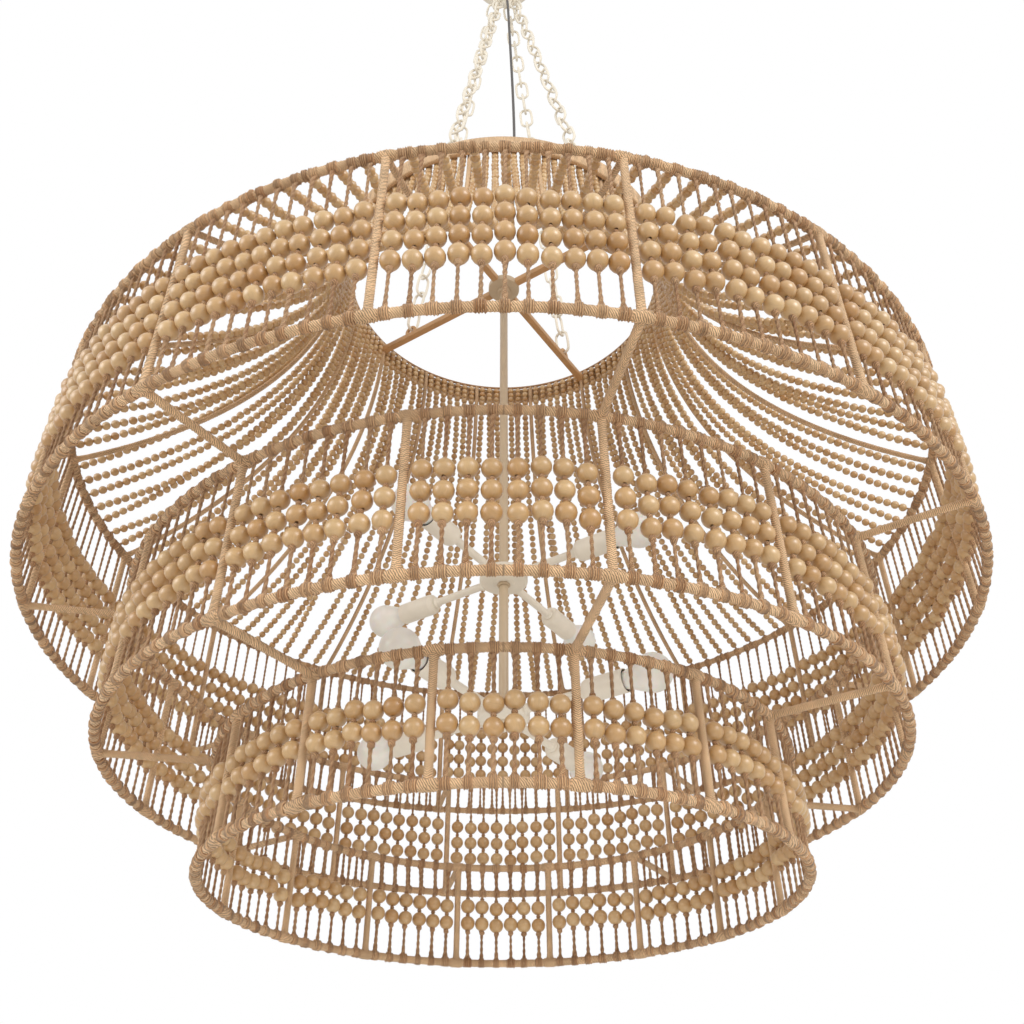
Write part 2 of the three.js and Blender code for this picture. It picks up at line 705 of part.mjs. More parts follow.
function upperHoop(tier, top) {
  const pieces = [hoopAt(tier.radius, top)];
  for (let i = 0; i < bays; i += 1) {
    for (const place of tier.stringsModelled) {
      pieces.push(beadString(tier, stringAngle(i, place, tier.strings), top, top - tier.height));
    }
  }
  return fused(pieces);
}

// The spokes lie level and end at the next tier's upper hoop.
function lowerFrame(tier, top, nextTier) {
  const bottom = top - tier.height;
  const pieces = [hoopAt(tier.radius, bottom)];
  for (let i = 0; i < bays; i += 1) {
    const angle = postAngle + i * bayAngle;
    const radius = hoopRadiusAt(tier.radius, angle);
    const foot = polar(angle, radius, bottom + hoopFlat - overrun);
    const head = polar(angle, radius, top - hoopFlat - clearance);
    pieces.push(rod(foot, head, postThickness / 2, facets.post, polar(angle, 1)));
    if (nextTier && i % spokeEvery === 0) {
      const inner = polar(angle, hoopRadiusAt(nextTier.radius, angle) + hoopFlat + clearance, bottom);
      const outer = polar(angle, radius - hoopFlat + overrun, bottom);
      pieces.push(rod(outer, inner, spokeThickness / 2, facets.post, up));
    }
  }
  return fused(pieces);
}

let tierTop = tier1Top;
tierSizes.forEach((tier, i) => {
  addPiece(`${tier.name}_upper_hoop`, upperHoop(tier, tierTop), twine);
  addPiece(`${tier.name}_lower_frame`, lowerFrame(tier, tierTop, tierSizes[i + 1]), twine);
  tierTop -= tier.height;
});

// Cable: a straight lead out of the canopy to beside the gathering ring, and from there a slack length
// to the nut on the spider's hub. The slack length swings with the chains, so a gap parts the two.

const leadTop = canopyBottom + canopyWall + grommetFlangeThickness;
const lead = turned([
  [0, leadTop], [cableDiameter / 2, leadTop], [cableDiameter / 2, leadBottom], [0, leadBottom],
], facets.cable);
addPiece('cable_lead', lead.translate(0, -grommetPlace, 0), darkCable);

// Shares, from the top down, of the drop, of the bow to the right and of the lead's distance in front.
const cableShares = [
  [0, 0, 1], [0.02, 0.04, 1.03], [0.04, 0.16, 1.1], [0.06, 0.3, 1.15], [0.1, 0.41, 1.14], [0.15, 0.5, 1.1],
  [0.22, 0.6, 0.98], [0.29, 0.7, 0.85], [0.44, 0.9, 0.6], [0.59, 1, 0.45], [0.74, 0.9, 0.3], [0.82, 0.75, 0.21],
  [0.87, 0.6, 0.15], [0.92, 0.42, 0.09], [0.95, 0.27, 0.05], [0.98, 0.06, 0], [1, 0, 0],
];

function hangingCable() {
  const top = leadBottom - swingGap;
  const drop = hubNutTop + clearance - top;
  const path = new THREE.CatmullRomCurve3(cableShares.map(([down, right, near]) => (
    new THREE.Vector3(cableBow * right, -grommetPlace * near, top + drop * down)
  )), false, 'centripetal');
  const radius = cableDiameter / 2;
  const section = new THREE.Shape(Array.from({ length: facets.cable }, (_, i) => {
    const angle = 2 * Math.PI * i / facets.cable;
    return new THREE.Vector2(radius * Math.cos(angle), radius * Math.sin(angle));
  }));
  const geometry = new THREE.ExtrudeGeometry(section, { steps: cableSteps, bevelEnabled: false, extrudePath: path });
  return facingOut(weld(geometry));
}
addPiece('power_cable', hangingCable(), darkCable);

export default chandelier;
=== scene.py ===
"""A three-tier chandelier of twine-wrapped hoops and wooden bead strings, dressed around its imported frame."""

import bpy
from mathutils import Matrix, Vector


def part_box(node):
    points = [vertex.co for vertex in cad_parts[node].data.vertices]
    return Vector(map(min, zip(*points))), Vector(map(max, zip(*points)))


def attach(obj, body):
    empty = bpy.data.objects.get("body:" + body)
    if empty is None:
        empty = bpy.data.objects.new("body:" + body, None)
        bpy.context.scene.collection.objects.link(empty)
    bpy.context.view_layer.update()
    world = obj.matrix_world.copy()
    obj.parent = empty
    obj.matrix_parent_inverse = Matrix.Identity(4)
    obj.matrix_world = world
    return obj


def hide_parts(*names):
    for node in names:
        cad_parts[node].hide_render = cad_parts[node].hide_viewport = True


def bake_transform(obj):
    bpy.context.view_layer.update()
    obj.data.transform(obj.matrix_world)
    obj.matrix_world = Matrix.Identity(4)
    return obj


bl_info = {
    "name": "Beaded Chandelier",
    "version": (1, 0, 0),
    "blender": (4, 5, 0),
    "location": "View3D > Sidebar > Chandelier",
    "description": "Dresses the frame of a three-tier chandelier with twine, beads, chains and lamps",
    "category": "Add Mesh",
}

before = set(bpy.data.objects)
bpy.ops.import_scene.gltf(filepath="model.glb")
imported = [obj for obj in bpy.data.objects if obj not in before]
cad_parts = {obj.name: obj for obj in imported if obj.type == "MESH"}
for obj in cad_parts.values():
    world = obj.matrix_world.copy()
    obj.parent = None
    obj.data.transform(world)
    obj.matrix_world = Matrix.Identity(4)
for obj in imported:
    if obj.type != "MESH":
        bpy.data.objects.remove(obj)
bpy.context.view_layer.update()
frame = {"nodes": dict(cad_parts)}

import math

import bpy
import numpy as np
from bpy.props import FloatProperty, FloatVectorProperty, IntProperty, IntVectorProperty, PointerProperty
from mathutils import Matrix, Vector

TAU = 2 * math.pi
UP = np.array([0.0, 0.0, 1.0])

# Fixed counts and places of the frame

BAYS = 16
BAY = TAU / BAYS
FIRST_POST = BAY / 2
POSTS = FIRST_POST + BAY * np.arange(BAYS)
SPIDER_ANGLES = -3 * FIRST_POST + TAU / 4 * np.arange(4)
END_SHARE = 0.75            # of a string's pitch, between the outer strings of a bay and its posts
GAP = 0.0003                # left between pieces that touch
PIN = 0.001                 # radius of the small flat that closes a turned form at its axis


# Vectors and outlines

def unit(vectors):
    return vectors / np.linalg.norm(vectors, axis=-1, keepdims=True)


def polar(angle, radius, height):
    """Points at an angle from the front that grows towards +X, a distance from the axis and a height."""
    angle, radius, height = np.broadcast_arrays(angle, radius, height)
    return np.stack([radius * np.sin(angle), -radius * np.cos(angle), height], axis=-1)


def outwards(angle, height):
    """The placing that turns +Z to the level direction at an angle from the front."""
    across = Vector((math.cos(angle), math.sin(angle), 0))
    ahead = Vector((math.sin(angle), -math.cos(angle), 0))
    placing = Matrix((across, Vector((0, 0, 1)), ahead)).transposed().to_4x4()
    placing.translation = (0, 0, height)
    return placing


def full_turn(count):
    """Angles evenly round one turn."""
    return TAU * np.arange(count) / count


def circle(sides, radius=1.0):
    turn = full_turn(sides)
    return np.stack([np.cos(turn), np.sin(turn)], axis=-1) * radius


def carried_round(profile, sides):
    """Points of a profile of [radius, height] carried round Z, row by row."""
    profile = np.array(profile, float)
    heights = np.broadcast_to(profile[:, None, 1:], (len(profile), sides, 1))
    return np.concatenate([profile[:, None, :1] * circle(sides)[None], heights], axis=-1)


def standing_ring(radius, height, steps, aside):
    """Points of a ring that stands upright, with its middle at a height on the axis."""
    turn = full_turn(steps)[:, None]
    return radius * np.cos(turn) * np.array(aside) + (height + radius * np.sin(turn)) * UP


def rectangle(half_width, half_height):
    return [(-half_width, -half_height), (half_width, -half_height),
            (half_width, half_height), (-half_width, half_height)]


def softened(outline, radius, closed=False, steps=3):
    """An outline with its corners rounded. The first and last points of an open outline stay."""
    outline = [np.array(p, float) for p in outline]
    count = len(outline)
    made = []
    for i, corner in enumerate(outline):
        if not closed and i in (0, count - 1):
            made.append(corner)
            continue
        before, after = outline[i - 1] - corner, outline[(i + 1) % count] - corner
        reach = min(radius, np.linalg.norm(before) * 0.45, np.linalg.norm(after) * 0.45)
        start, end = corner + unit(before) * reach, corner + unit(after) * reach
        for share in np.linspace(0, 1, steps + 1):
            made.append((1 - share) ** 2 * start + 2 * share * (1 - share) * corner + share ** 2 * end)
    return np.array(made)


def smooth_line(points, count):
    """Evenly spaced points on the smooth curve through the points given."""
    points = np.array(points, float)
    points = np.vstack([2 * points[0] - points[1], points, 2 * points[-1] - points[-2]])
    fine = []
    for i in range(1, len(points) - 2):
        a, b, c, d = points[i - 1:i + 3]
        knots = np.cumsum([0] + [math.sqrt(np.linalg.norm(q - p)) for p, q in ((a, b), (b, c), (c, d))])
        for t in np.linspace(knots[1], knots[2], 24, endpoint=False):
            def between(p, q, start, end):
                return p + (q - p) * (t - start) / (end - start)
            ab, bc, cd = (between(a, b, *knots[0:2]), between(b, c, *knots[1:3]), between(c, d, *knots[2:4]))
            abc = between(ab, bc, knots[0], knots[2])
            bcd = between(bc, cd, knots[1], knots[3])
            fine.append(between(abc, bcd, knots[1], knots[2]))
    fine.append(points[-2])
    return spaced(np.array(fine), count)


def travelled(points):
    """How far along its line each point lies."""
    return np.concatenate([[0], np.cumsum(np.linalg.norm(np.diff(points, axis=0), axis=1))])


def points_at(places, run, points):
    return np.stack([np.interp(places, run, points[:, i]) for i in range(3)], axis=-1)


def spaced(points, count):
    run = travelled(points)
    return points_at(np.linspace(0, run[-1], count), run, points)


def tube_faces(lines, stations, sides, closed):
    """Faces between the rings of points round each line, with a fan over each open end. A triangle
    gives its last point twice."""
    spans = stations if closed else stations - 1
    line = np.arange(lines)[:, None, None] * stations * sides
    i = np.arange(spans)[None, :, None]
    j = np.arange(sides)[None, None, :]
    here, ahead, k = line + i * sides, line + (i + 1) % stations * sides, (j + 1) % sides
    quads = np.stack(np.broadcast_arrays(here + j, here + k, ahead + k, ahead + j), axis=-1).reshape(-1, 4)
    if closed:
        return quads
    j = np.arange(1, sides - 1)[None, :]
    start = line[:, 0]
    last = start + (stations - 1) * sides
    under = np.stack(np.broadcast_arrays(start, start + j + 1, start + j, start + j), axis=-1)
    over = np.stack(np.broadcast_arrays(last, last + j, last + j + 1, last + j + 1), axis=-1)
    return np.concatenate([quads, under.reshape(-1, 4), over.reshape(-1, 4)])


class Shell:
    """Points and faces of one mesh, gathered form by form, with the two attributes that the finishes
    read: coords, the place on the form that its pattern follows, and tone, from dark 0 to light 1. On
    cords and ties, tone also holds painted shade in the grooves."""

    def __init__(self):
        self.points, self.faces, self.coords, self.tones = [], [], [], []
        self.count = 0

    def add(self, points, faces, coords, tone):
        shape = points.shape[:-1]
        self.points.append(points.reshape(-1, 3))
        self.faces.append(faces.reshape(-1, 4) + self.count)
        self.coords.append(np.broadcast_to(coords, points.shape).reshape(-1, 3))
        self.tones.append(np.broadcast_to(tone, shape).reshape(-1))
        self.count += points.size // 3

    def sweep(self, path, across, section, tone=0.5, closed=False):
        """Forms along many lines at once. path is (lines, stations, 3), and section is (sides, 2), or
        as many of it as there are stations or lines and stations: offsets across and over the line."""
        path = np.asarray(path, float)
        path = path[None] if path.ndim == 2 else path
        lines, stations = path.shape[:2]
        along = np.roll(path, -1, axis=1) - np.roll(path, 1, axis=1)
        if not closed:
            along[:, 0] = path[:, 1] - path[:, 0]
            along[:, -1] = path[:, -1] - path[:, -2]
        along = unit(along)
        across = np.broadcast_to(across, path.shape)
        across = unit(across - along * (across * along).sum(axis=-1, keepdims=True))
        over = np.cross(along, across)
        sides = section.shape[-2]
        section = np.broadcast_to(section, (lines, stations, sides, 2))
        aside = section[..., :1] * across[:, :, None]
        points = path[:, :, None] + aside + section[..., 1:] * over[:, :, None]
        steps = np.linalg.norm(np.diff(path, axis=1), axis=2)
        run = np.pad(np.cumsum(steps, axis=1), ((0, 0), (1, 0)))[..., None]
        round_share = np.abs(2 * np.arange(sides) / sides - 1)
        number = np.arange(lines)[:, None, None]
        coords = np.stack(np.broadcast_arrays(run, round_share, number + 0.0), axis=-1)
        tone = np.asarray(tone, float)
        tone = tone.reshape(tone.shape + (1,) * (3 - tone.ndim))
        self.add(points, tube_faces(lines, stations, sides, closed), coords, tone)

    def turned(self, profile, sides, placing=None, closed=False):
        """A profile of [radius, height] turned about Z, then placed. It runs upwards on the outside. An
        open one ends flat."""
        coords = carried_round(profile, sides)[None]
        points = coords
        if placing is not None:
            placing = np.array(placing)
            points = coords @ placing[:3, :3].T + placing[:3, 3]
        self.add(points, tube_faces(1, len(profile), sides, closed), coords, 0.5)

    def scatter(self, template, faces, origins, turns, sizes, coords, tone):
        """Copies of a template's points, each turned, sized and placed."""
        points = np.einsum("nij,pj->npi", turns, template) * sizes[:, None, None] + origins[:, None]
        offsets = np.arange(len(origins))[:, None, None] * len(template)
        self.add(points, faces[None] + offsets, coords, np.broadcast_to(tone[:, None], points.shape[:2]))

    def mesh(self, name, sharp=None):
        points, faces = np.concatenate(self.points), np.concatenate(self.faces)
        corners = np.ones(faces.shape, bool)
        corners[:, 3] = faces[:, 2] != faces[:, 3]
        sizes = corners.sum(axis=1)
        loops = faces[corners]
        made = bpy.data.meshes.new(name)
        made.vertices.add(len(points))
        made.vertices.foreach_set("co", points.astype(np.float32).ravel())
        made.loops.add(len(loops))
        made.loops.foreach_set("vertex_index", loops.astype(np.int32))
        made.polygons.add(len(faces))
        made.polygons.foreach_set("loop_start", (np.cumsum(sizes) - sizes).astype(np.int32))
        made.update(calc_edges=True)
        made.validate()
        coords = made.attributes.new("coords", "FLOAT_VECTOR", "POINT")
        coords.data.foreach_set("vector", np.concatenate(self.coords).astype(np.float32).ravel())
        tone = made.attributes.new("tone", "FLOAT", "POINT")
        tone.data.foreach_set("value", np.concatenate(self.tones).astype(np.float32))
        made.shade_smooth()
        if sharp is not None:
            made.set_sharp_from_angle(angle=math.radians(sharp))
        return made

    def piece(self, name, paint, node_name=None, body="fixture", sharp=None, riding=True):
        """An object with a finish, which rides on a body and may stand for a node. Its edges are sharp
        where they turn by more than the degrees given."""
        made = bpy.data.objects.new(name, self.mesh(name, sharp))
        made.data.materials.append(finish(paint))
        bpy.context.scene.collection.objects.link(made)
        if riding:
            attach(made, body)
        if node_name:
            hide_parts(node_name)
        return made


# Finishes

def node(tree, kind, inputs=None, **settings):
    made = tree.nodes.new(kind)
    for key, value in settings.items():
        setattr(made, key, value)
    for key, value in (inputs or {}).items():
        if isinstance(value, bpy.types.NodeSocket):
            tree.links.new(value, made.inputs[key])
        else:
            made.inputs[key].default_value = value
    return made


def calc(tree, operation, first, second):
    return node(tree, "ShaderNodeMath", {0: first, 1: second}, operation=operation).outputs[0]


def span(tree, value, low, high, start=0.0, end=1.0):
    """A value carried from start..end to low..high."""
    inputs = {"Value": value, "From Min": start, "From Max": end, "To Min": low, "To Max": high}
    return node(tree, "ShaderNodeMapRange", inputs).outputs["Result"]


def blended(tree, factor, first, second, how="MIX"):
    inputs = {0: factor, 6: first, 7: second}
    return node(tree, "ShaderNodeMix", inputs, data_type="RGBA", blend_type=how).outputs[2]


def rgba(colour):
    return (*colour, 1.0)


def linear(red, green, blue):
    """A colour as seen on a screen, in steps of 255, in the light that the finishes work with."""
    shares = [value / 255 for value in (red, green, blue)]
    return tuple(s / 12.92 if s <= 0.04045 else ((s + 0.055) / 1.055) ** 2.4 for s in shares)


def fresh(name, **constants):
    material = bpy.data.materials.new(name)
    material.use_nodes = True
    shader = material.node_tree.nodes["Principled BSDF"]
    for key, value in constants.items():
        shader.inputs[key.replace("_", " ")].default_value = value
    return material, material.node_tree, shader


def bump(tree, shader, height, strength, distance):
    made = node(tree, "ShaderNodeBump", {"Strength": strength, "Distance": distance, "Height": height})
    tree.links.new(made.outputs[0], shader.inputs["Normal"])


def noise(tree, vector, scale, detail=2.0, roughness=0.5):
    inputs = {"Vector": vector, "Scale": scale, "Detail": detail, "Roughness": roughness}
    return node(tree, "ShaderNodeTexNoise", inputs).outputs[0]


def place_in(tree):
    """Where a point of the piece lies."""
    return node(tree, "ShaderNodeTexCoord").outputs["Object"]


def attribute(tree, name, output):
    return node(tree, "ShaderNodeAttribute", attribute_name=name).outputs[output]


def drawn_out(tree, vector, shares):
    """Places whose pattern is longer in the directions with the small shares."""
    return node(tree, "ShaderNodeVectorMath", {0: vector, 1: shares}, operation="MULTIPLY").outputs[0]


def coloured(tree, shader, plain, shade):
    tree.links.new(blended(tree, 1.0, plain, shade, "MULTIPLY"), shader.inputs["Base Color"])


def roughened(tree, shader, value, low, high, start=0.0, end=1.0):
    tree.links.new(span(tree, value, low, high, start, end), shader.inputs["Roughness"])


def twine_finish(name, colours, strand=0.0028, slants=4.2, depth=0.66):
    """Twine: strands that slant one way on each half of the form, and so meet in a herringbone."""
    material, tree, shader = fresh(name, Roughness=0.8, Specular_IOR_Level=0.3, Sheen_Weight=0.15)
    place, tone = place_in(tree), attribute(tree, "tone", "Fac")
    parts = node(tree, "ShaderNodeSeparateXYZ", {0: attribute(tree, "coords", "Vector")}).outputs
    slant = calc(tree, "MULTIPLY", parts[1], slants)
    phase = calc(tree, "ADD", calc(tree, "DIVIDE", parts[0], strand), slant)
    phase = calc(tree, "ADD", phase, span(tree, noise(tree, place, 260.0, 1.0), -0.45, 0.45))
    angle = calc(tree, "MULTIPLY", phase, TAU)
    wave = node(tree, "ShaderNodeMath", {0: angle}, operation="SINE").outputs[0]
    ridge = calc(tree, "POWER", span(tree, wave, 0.0, 1.0, -1.0, 1.0), 0.6)
    fibre = noise(tree, place, 700.0, 2.0, 0.65)
    patch = noise(tree, place, 38.0, 2.0)
    height = calc(tree, "ADD", calc(tree, "MULTIPLY", ridge, 0.6), calc(tree, "MULTIPLY", fibre, 0.4))
    plain = blended(tree, tone, rgba(colours.twine_dark), rgba(colours.twine_light))
    # The colour darkens with the height that the bump also follows: the darker grooves between the strands are
    # painted shade, and the fibre speckle in it is the twine's own.
    strands = span(tree, height, 1.0 - depth, 1.0 + depth * 0.32, 0.2, 0.8)
    coloured(tree, shader, plain, calc(tree, "MULTIPLY", strands, span(tree, patch, 0.86, 1.14, 0.3, 0.7)))
    bump(tree, shader, height, 1.0, 0.0009)
    return material


def bead_finish(name, colours):
    """Bare turned wood, with fine grain across each bead and its own share of warmth."""
    material, tree, shader = fresh(name, Specular_IOR_Level=0.7, Coat_Weight=0.75, Coat_Roughness=0.36)
    coords, tone = attribute(tree, "coords", "Vector"), attribute(tree, "tone", "Fac")
    layers = drawn_out(tree, coords, (0.16, 0.16, 1.0))
    grain = noise(tree, layers, 620.0, 3.0, 0.6)
    broad = noise(tree, layers, 120.0, 1.0)
    speck = noise(tree, coords, 1500.0, 2.0)
    plain = blended(tree, tone, rgba(colours.bead_warm), rgba(colours.bead_pale))
    fine, wide = span(tree, grain, 0.92, 1.04, 0.3, 0.7), span(tree, broad, 0.93, 1.04, 0.3, 0.7)
    coloured(tree, shader, plain, calc(tree, "MULTIPLY", fine, wide))
    roughened(tree, shader, grain, 0.48, 0.36)
    bump(tree, shader, calc(tree, "ADD", grain, speck), 0.16, 0.0002)
    return material


def paint_finish(name, colour, rough, mottle=0.05):
    """Brushed-on paint with a faint orange-peel surface."""
    material, tree, shader = fresh(name)
    place = place_in(tree)
    peel, cloud = noise(tree, place, 420.0, 2.0), noise(tree, place, 30.0, 3.0)
    coloured(tree, shader, rgba(colour), span(tree, cloud, 1.0 - mottle, 1.0 + mottle, 0.3, 0.7))
    roughened(tree, shader, cloud, rough - 0.06, rough + 0.06, 0.3, 0.7)
    bump(tree, shader, peel, 0.12, 0.0003)
    return material


def steel_finish(name, colour):
    """Zinc-plated steel with the fine lines of its drawing."""
    material, tree, shader = fresh(name, Metallic=1.0)
    place = place_in(tree)
    scratch = noise(tree, drawn_out(tree, place, (1.0, 1.0, 0.08)), 1400.0, 3.0)
    cloud = noise(tree, place, 60.0, 2.0)
    dull = rgba([c * 0.75 for c in colour])
    tree.links.new(blended(tree, cloud, rgba(colour), dull), shader.inputs["Base Color"])
    roughened(tree, shader, scratch, 0.22, 0.42)
    bump(tree, shader, scratch, 0.1, 0.0001)
    return material


def glass_finish(name, colour):
    """Frosted glass of an unlit lamp."""
    material, tree, shader = fresh(name, Subsurface_Weight=0.25, Subsurface_Scale=0.01, Coat_Weight=0.35,
                                   Coat_Roughness=0.2)
    place = place_in(tree)
    frost, cloud = noise(tree, place, 1600.0, 2.0), noise(tree, place, 45.0, 2.0)
    coloured(tree, shader, rgba(colour), span(tree, cloud, 0.96, 1.03, 0.3, 0.7))
    roughened(tree, shader, frost, 0.3, 0.42)
    bump(tree, shader, frost, 0.06, 0.0002)
    return material


def rubber_finish(name, colour, rough=0.5):
    """Rubber or plastic with a fine matt skin."""
    material, tree, shader = fresh(name)
    skin = noise(tree, place_in(tree), 700.0, 3.0)
    coloured(tree, shader, rgba(colour), span(tree, skin, 0.85, 1.15, 0.3, 0.7))
    roughened(tree, shader, skin, rough - 0.08, rough + 0.08)
    bump(tree, shader, skin, 0.15, 0.0002)
    return material


FINISHES = {
    "twine": lambda name, c: twine_finish(name, c),
    "band_twine": lambda name, c: twine_finish(name, c, strand=0.0025, slants=0.0, depth=0.5),
    "bead_wood": lambda name, c: bead_finish(name, c),
    "tan_paint": lambda name, c: paint_finish(name, c.tan_paint, 0.5, 0.09),
    "white_paint": lambda name, c: paint_finish(name, c.white_paint, 0.42),
    # The off-white paint with painted shade and a painted warm bounce.
    "stem_paint": lambda name, c: paint_finish(name, c.stem_paint, 0.42),
    "zinc_steel": lambda name, c: steel_finish(name, c.zinc_steel),
    "frosted_glass": lambda name, c: glass_finish(name, c.frosted_glass),
    "dark_cable": lambda name, c: rubber_finish(name, c.dark_cable),
    # Painted shade inside the sockets.
    "socket_black": lambda name, c: rubber_finish(name, c.socket_black, 0.35),
}


def finish(name):
    """The material of that name, made the first time it is asked for."""
    found = bpy.data.materials.get(name + "_finish")
    return found or FINISHES[name](name + "_finish", bpy.context.scene.chandelier_colours)


# Sizes and colours

def size(name, description, default):
    return FloatProperty(name=name, description=description, default=default, min=0.0, precision=4,
                         unit="LENGTH")


def sizes(name, description, default):
    return FloatVectorProperty(name=name, description=description, default=default, size=3, min=0.0,
                               precision=4, unit="LENGTH")


def power(name, description, default):
    return FloatProperty(name=name, description=description, default=default, unit="POWER")


def counts(name, description, default):
    return IntVectorProperty(name=name, description=description, default=default, size=3, min=1)


def turn(name, description, default):
    return FloatProperty(name=name, description=description, default=math.radians(default), subtype="ANGLE")


def colour(name, description, default):
    return FloatVectorProperty(name=name, description=description, default=linear(*default), size=3, min=0.0,
                               max=1.0, subtype="COLOR")


class CHANDELIER_PG_view(bpy.types.PropertyGroup):
    """Where the photographer stood, and the light."""
    place: FloatVectorProperty(name="Camera place", description="Where the camera stands", size=3,
                               default=(-0.0023, -1.4562, -3.170), subtype="TRANSLATION", unit="LENGTH")
    pitch: turn("Pitch", "How far the camera looks up", 36.61)
    heading: turn("Heading", "How far the camera turns to the left of +Y", -0.686)
    roll: turn("Roll", "How far the camera leans to the left", -0.323)
    lens: FloatProperty(name="Lens", description="Focal length on a 36 mm wide sensor", default=34.805,
                        unit="CAMERA")
    floor_drop: size("Floor drop", "Ceiling to floor", 4.3)
    ambient: FloatProperty(name="Ambient", description="Strength of the white light from all sides",
                           default=0.66)
    key_power: power("Key", "Power of the large soft lamp in front", 98.0)
    fill_power: power("Fill", "Power of the soft lamp on the other side", 72.0)
    floor_power: power("Floor light", "Power of the soft lamp below", 8.0)


class CHANDELIER_PG_hoops(bpy.types.PropertyGroup):
    """The tiers and the crown. Sets of three run from the widest tier down."""
    thickness: size("Hoop thickness", "Wrapped rod of a hoop", 0.012)
    post_thickness: size("Post thickness", "Wrapped rod of a post or spoke", 0.0105)
    rib_thickness: size("Rib thickness", "Wrapped rod of a crown rib", 0.009)
    radii: sizes("Tier radii", "Axis to the middle of a tier's hoops", (0.750, 0.590, 0.425))
    heights: sizes("Tier heights", "Middle of a tier's upper hoop to the middle of its lower one",
                   (0.288, 0.226, 0.165))
    strings: counts("Strings", "Bead strings in each bay of a tier", (11, 8, 6))
    beads: counts("Beads", "Beads on each string of a tier", (4, 3, 2))
    bead_pitches: sizes("Bead pitches", "Between the middles of two beads", (0.0338, 0.0314, 0.029))
    bead_drops: sizes("Bead drops", "Upper hoop to the middle of the first bead", (0.103, 0.089, 0.070))
    band_drop: size("Band drop", "Ceiling to the crown band's lower edge", 1.490)
    band_radius: size("Band radius", "Axis to the middle of the crown's band", 0.352)
    band_height: size("Band height", "Height of the crown's flat band", 0.040)
    band_thickness: size("Band thickness", "Thickness of the crown's flat band", 0.010)
    dome_height: size("Dome height", "Band's lower edge to the middle of the first tier's upper hoop", 0.598)
    dome_strings: IntProperty(name="Dome strings", description="Strings of small beads in each bay",
                              default=7, min=1)
    dome_waist: size("Dome waist", "Axis to the point that the dome's curve bends towards", 0.360)
    dome_fall: size("Dome fall", "Band's lower edge to the point that the dome's curve bends towards", 0.412)


class CHANDELIER_PG_beads(bpy.types.PropertyGroup):
    """Beads and the twine that they hang on."""
    bead: size("Bead", "Diameter of a bead of the tiers", 0.0253)
    bore: size("Bore", "Diameter of the hole in a bead", 0.0048)
    small_bead: size("Small bead", "Diameter of a bead of the crown", 0.0147)
    cord: size("Cord", "Diameter of the twine that carries the beads", 0.0050)
    wander: size("Wander", "How far a row of beads strays from its level", 0.0055)
    tie: size("Tie", "Width of the twine tied round a hoop", 0.0125)


class CHANDELIER_PG_metal(bpy.types.PropertyGroup):
    """Canopy, chains, spider and lamps."""
    canopy: size("Canopy", "Diameter of the canopy", 0.206)
    canopy_depth: size("Canopy depth", "Ceiling to the canopy's underside", 0.042)
    loop_radius: size("Loop radius", "Middle of the canopy loop to the middle of its wire", 0.017)
    ring_radius: size("Ring radius", "Middle of the gathering ring to the middle of its wire", 0.038)
    ring_wire: size("Ring wire", "Wire of the loop and the ring", 0.007)
    link_wire: size("Link wire", "Wire of a chain link", 0.0065)
    link_width: size("Link width", "Width of a chain link", 0.037)
    link_pitch: size("Link pitch", "Inside length of a chain link", 0.0555)
    spider_bar: size("Spider bar", "Side of a spider arm's square bar", 0.014)
    spider_rise: size("Spider rise", "Band's lower edge to the spider arms", 0.008)
    spider_hub: size("Spider hub", "Diameter of the spider's hub", 0.067)
    spider_hub_height: size("Spider hub height", "Thickness of the spider's hub", 0.024)
    lug_place: size("Lug place", "Axis to the middle of a chain lug", 0.259)
    lug_radius: size("Lug radius", "Rounded end of a chain lug", 0.015)
    lug_hole: size("Lug hole", "Diameter of the hole in a chain lug", 0.015)
    stem: size("Stem", "Diameter of the central stem", 0.016)
    cluster_hub: size("Cluster hub", "Diameter of a lamp cluster's hub", 0.084)
    cluster_hub_height: size("Cluster hub height", "Thickness of a lamp cluster's hub", 0.022)
    arm: size("Lamp arm", "Diameter of a lamp arm", 0.0135)
    socket: size("Socket", "Diameter of a lamp socket", 0.037)
    socket_length: size("Socket length", "Length of a lamp socket", 0.072)
    socket_place: size("Socket place", "Axis to a socket's back", 0.148)
    globe: size("Bulb", "Diameter of a bulb's globe", 0.060)
    globe_length: size("Bulb length", "Length of a bulb's glass", 0.078)
    cable: size("Cable", "Diameter of the supply cable", 0.007)
    cable_bow: size("Cable bow", "How far the cable's slack hangs to the right", 0.026)


class CHANDELIER_PG_colours(bpy.types.PropertyGroup):
    """Colours of the finishes."""
    twine_light: colour("Light twine", "Twine wrapped round the hoops", (228, 191, 149))
    # The dark end of the twine's tone is also the painted shade in the grooves of cords and ties.
    twine_dark: colour("Dark twine", "Twine of the knots", (152, 103, 62))
    bead_pale: colour("Pale bead", "The palest wood", (209, 174, 123))
    bead_warm: colour("Warm bead", "The warmest wood", (185, 138, 79))
    tan_paint: colour("Tan paint", "Spider arms and lugs", (198, 153, 104))
    white_paint: colour("White paint", "Canopy, ring, chains and lamps", (236, 227, 210))
    # The lamps' off-white paint, darkened and warmed: painted shade and a painted warm bounce from the beads.
    stem_paint: colour("Stem paint", "Central stem, its nuts and the spider's hub", (206, 185, 155))
    zinc_steel: colour("Zinc", "Bracket, nipple and bulb caps", (196, 197, 196))
    frosted_glass: colour("Frosted glass", "Bulbs", (240, 237, 228))
    dark_cable: colour("Cable", "Supply cable", (88, 84, 82))
    # A near-black that stands for the shade inside the sockets: painted shade.
    socket_black: colour("Socket lining", "Inside of the sockets", (42, 40, 38))
    floor: colour("Floor", "Studio floor", (228, 225, 220))


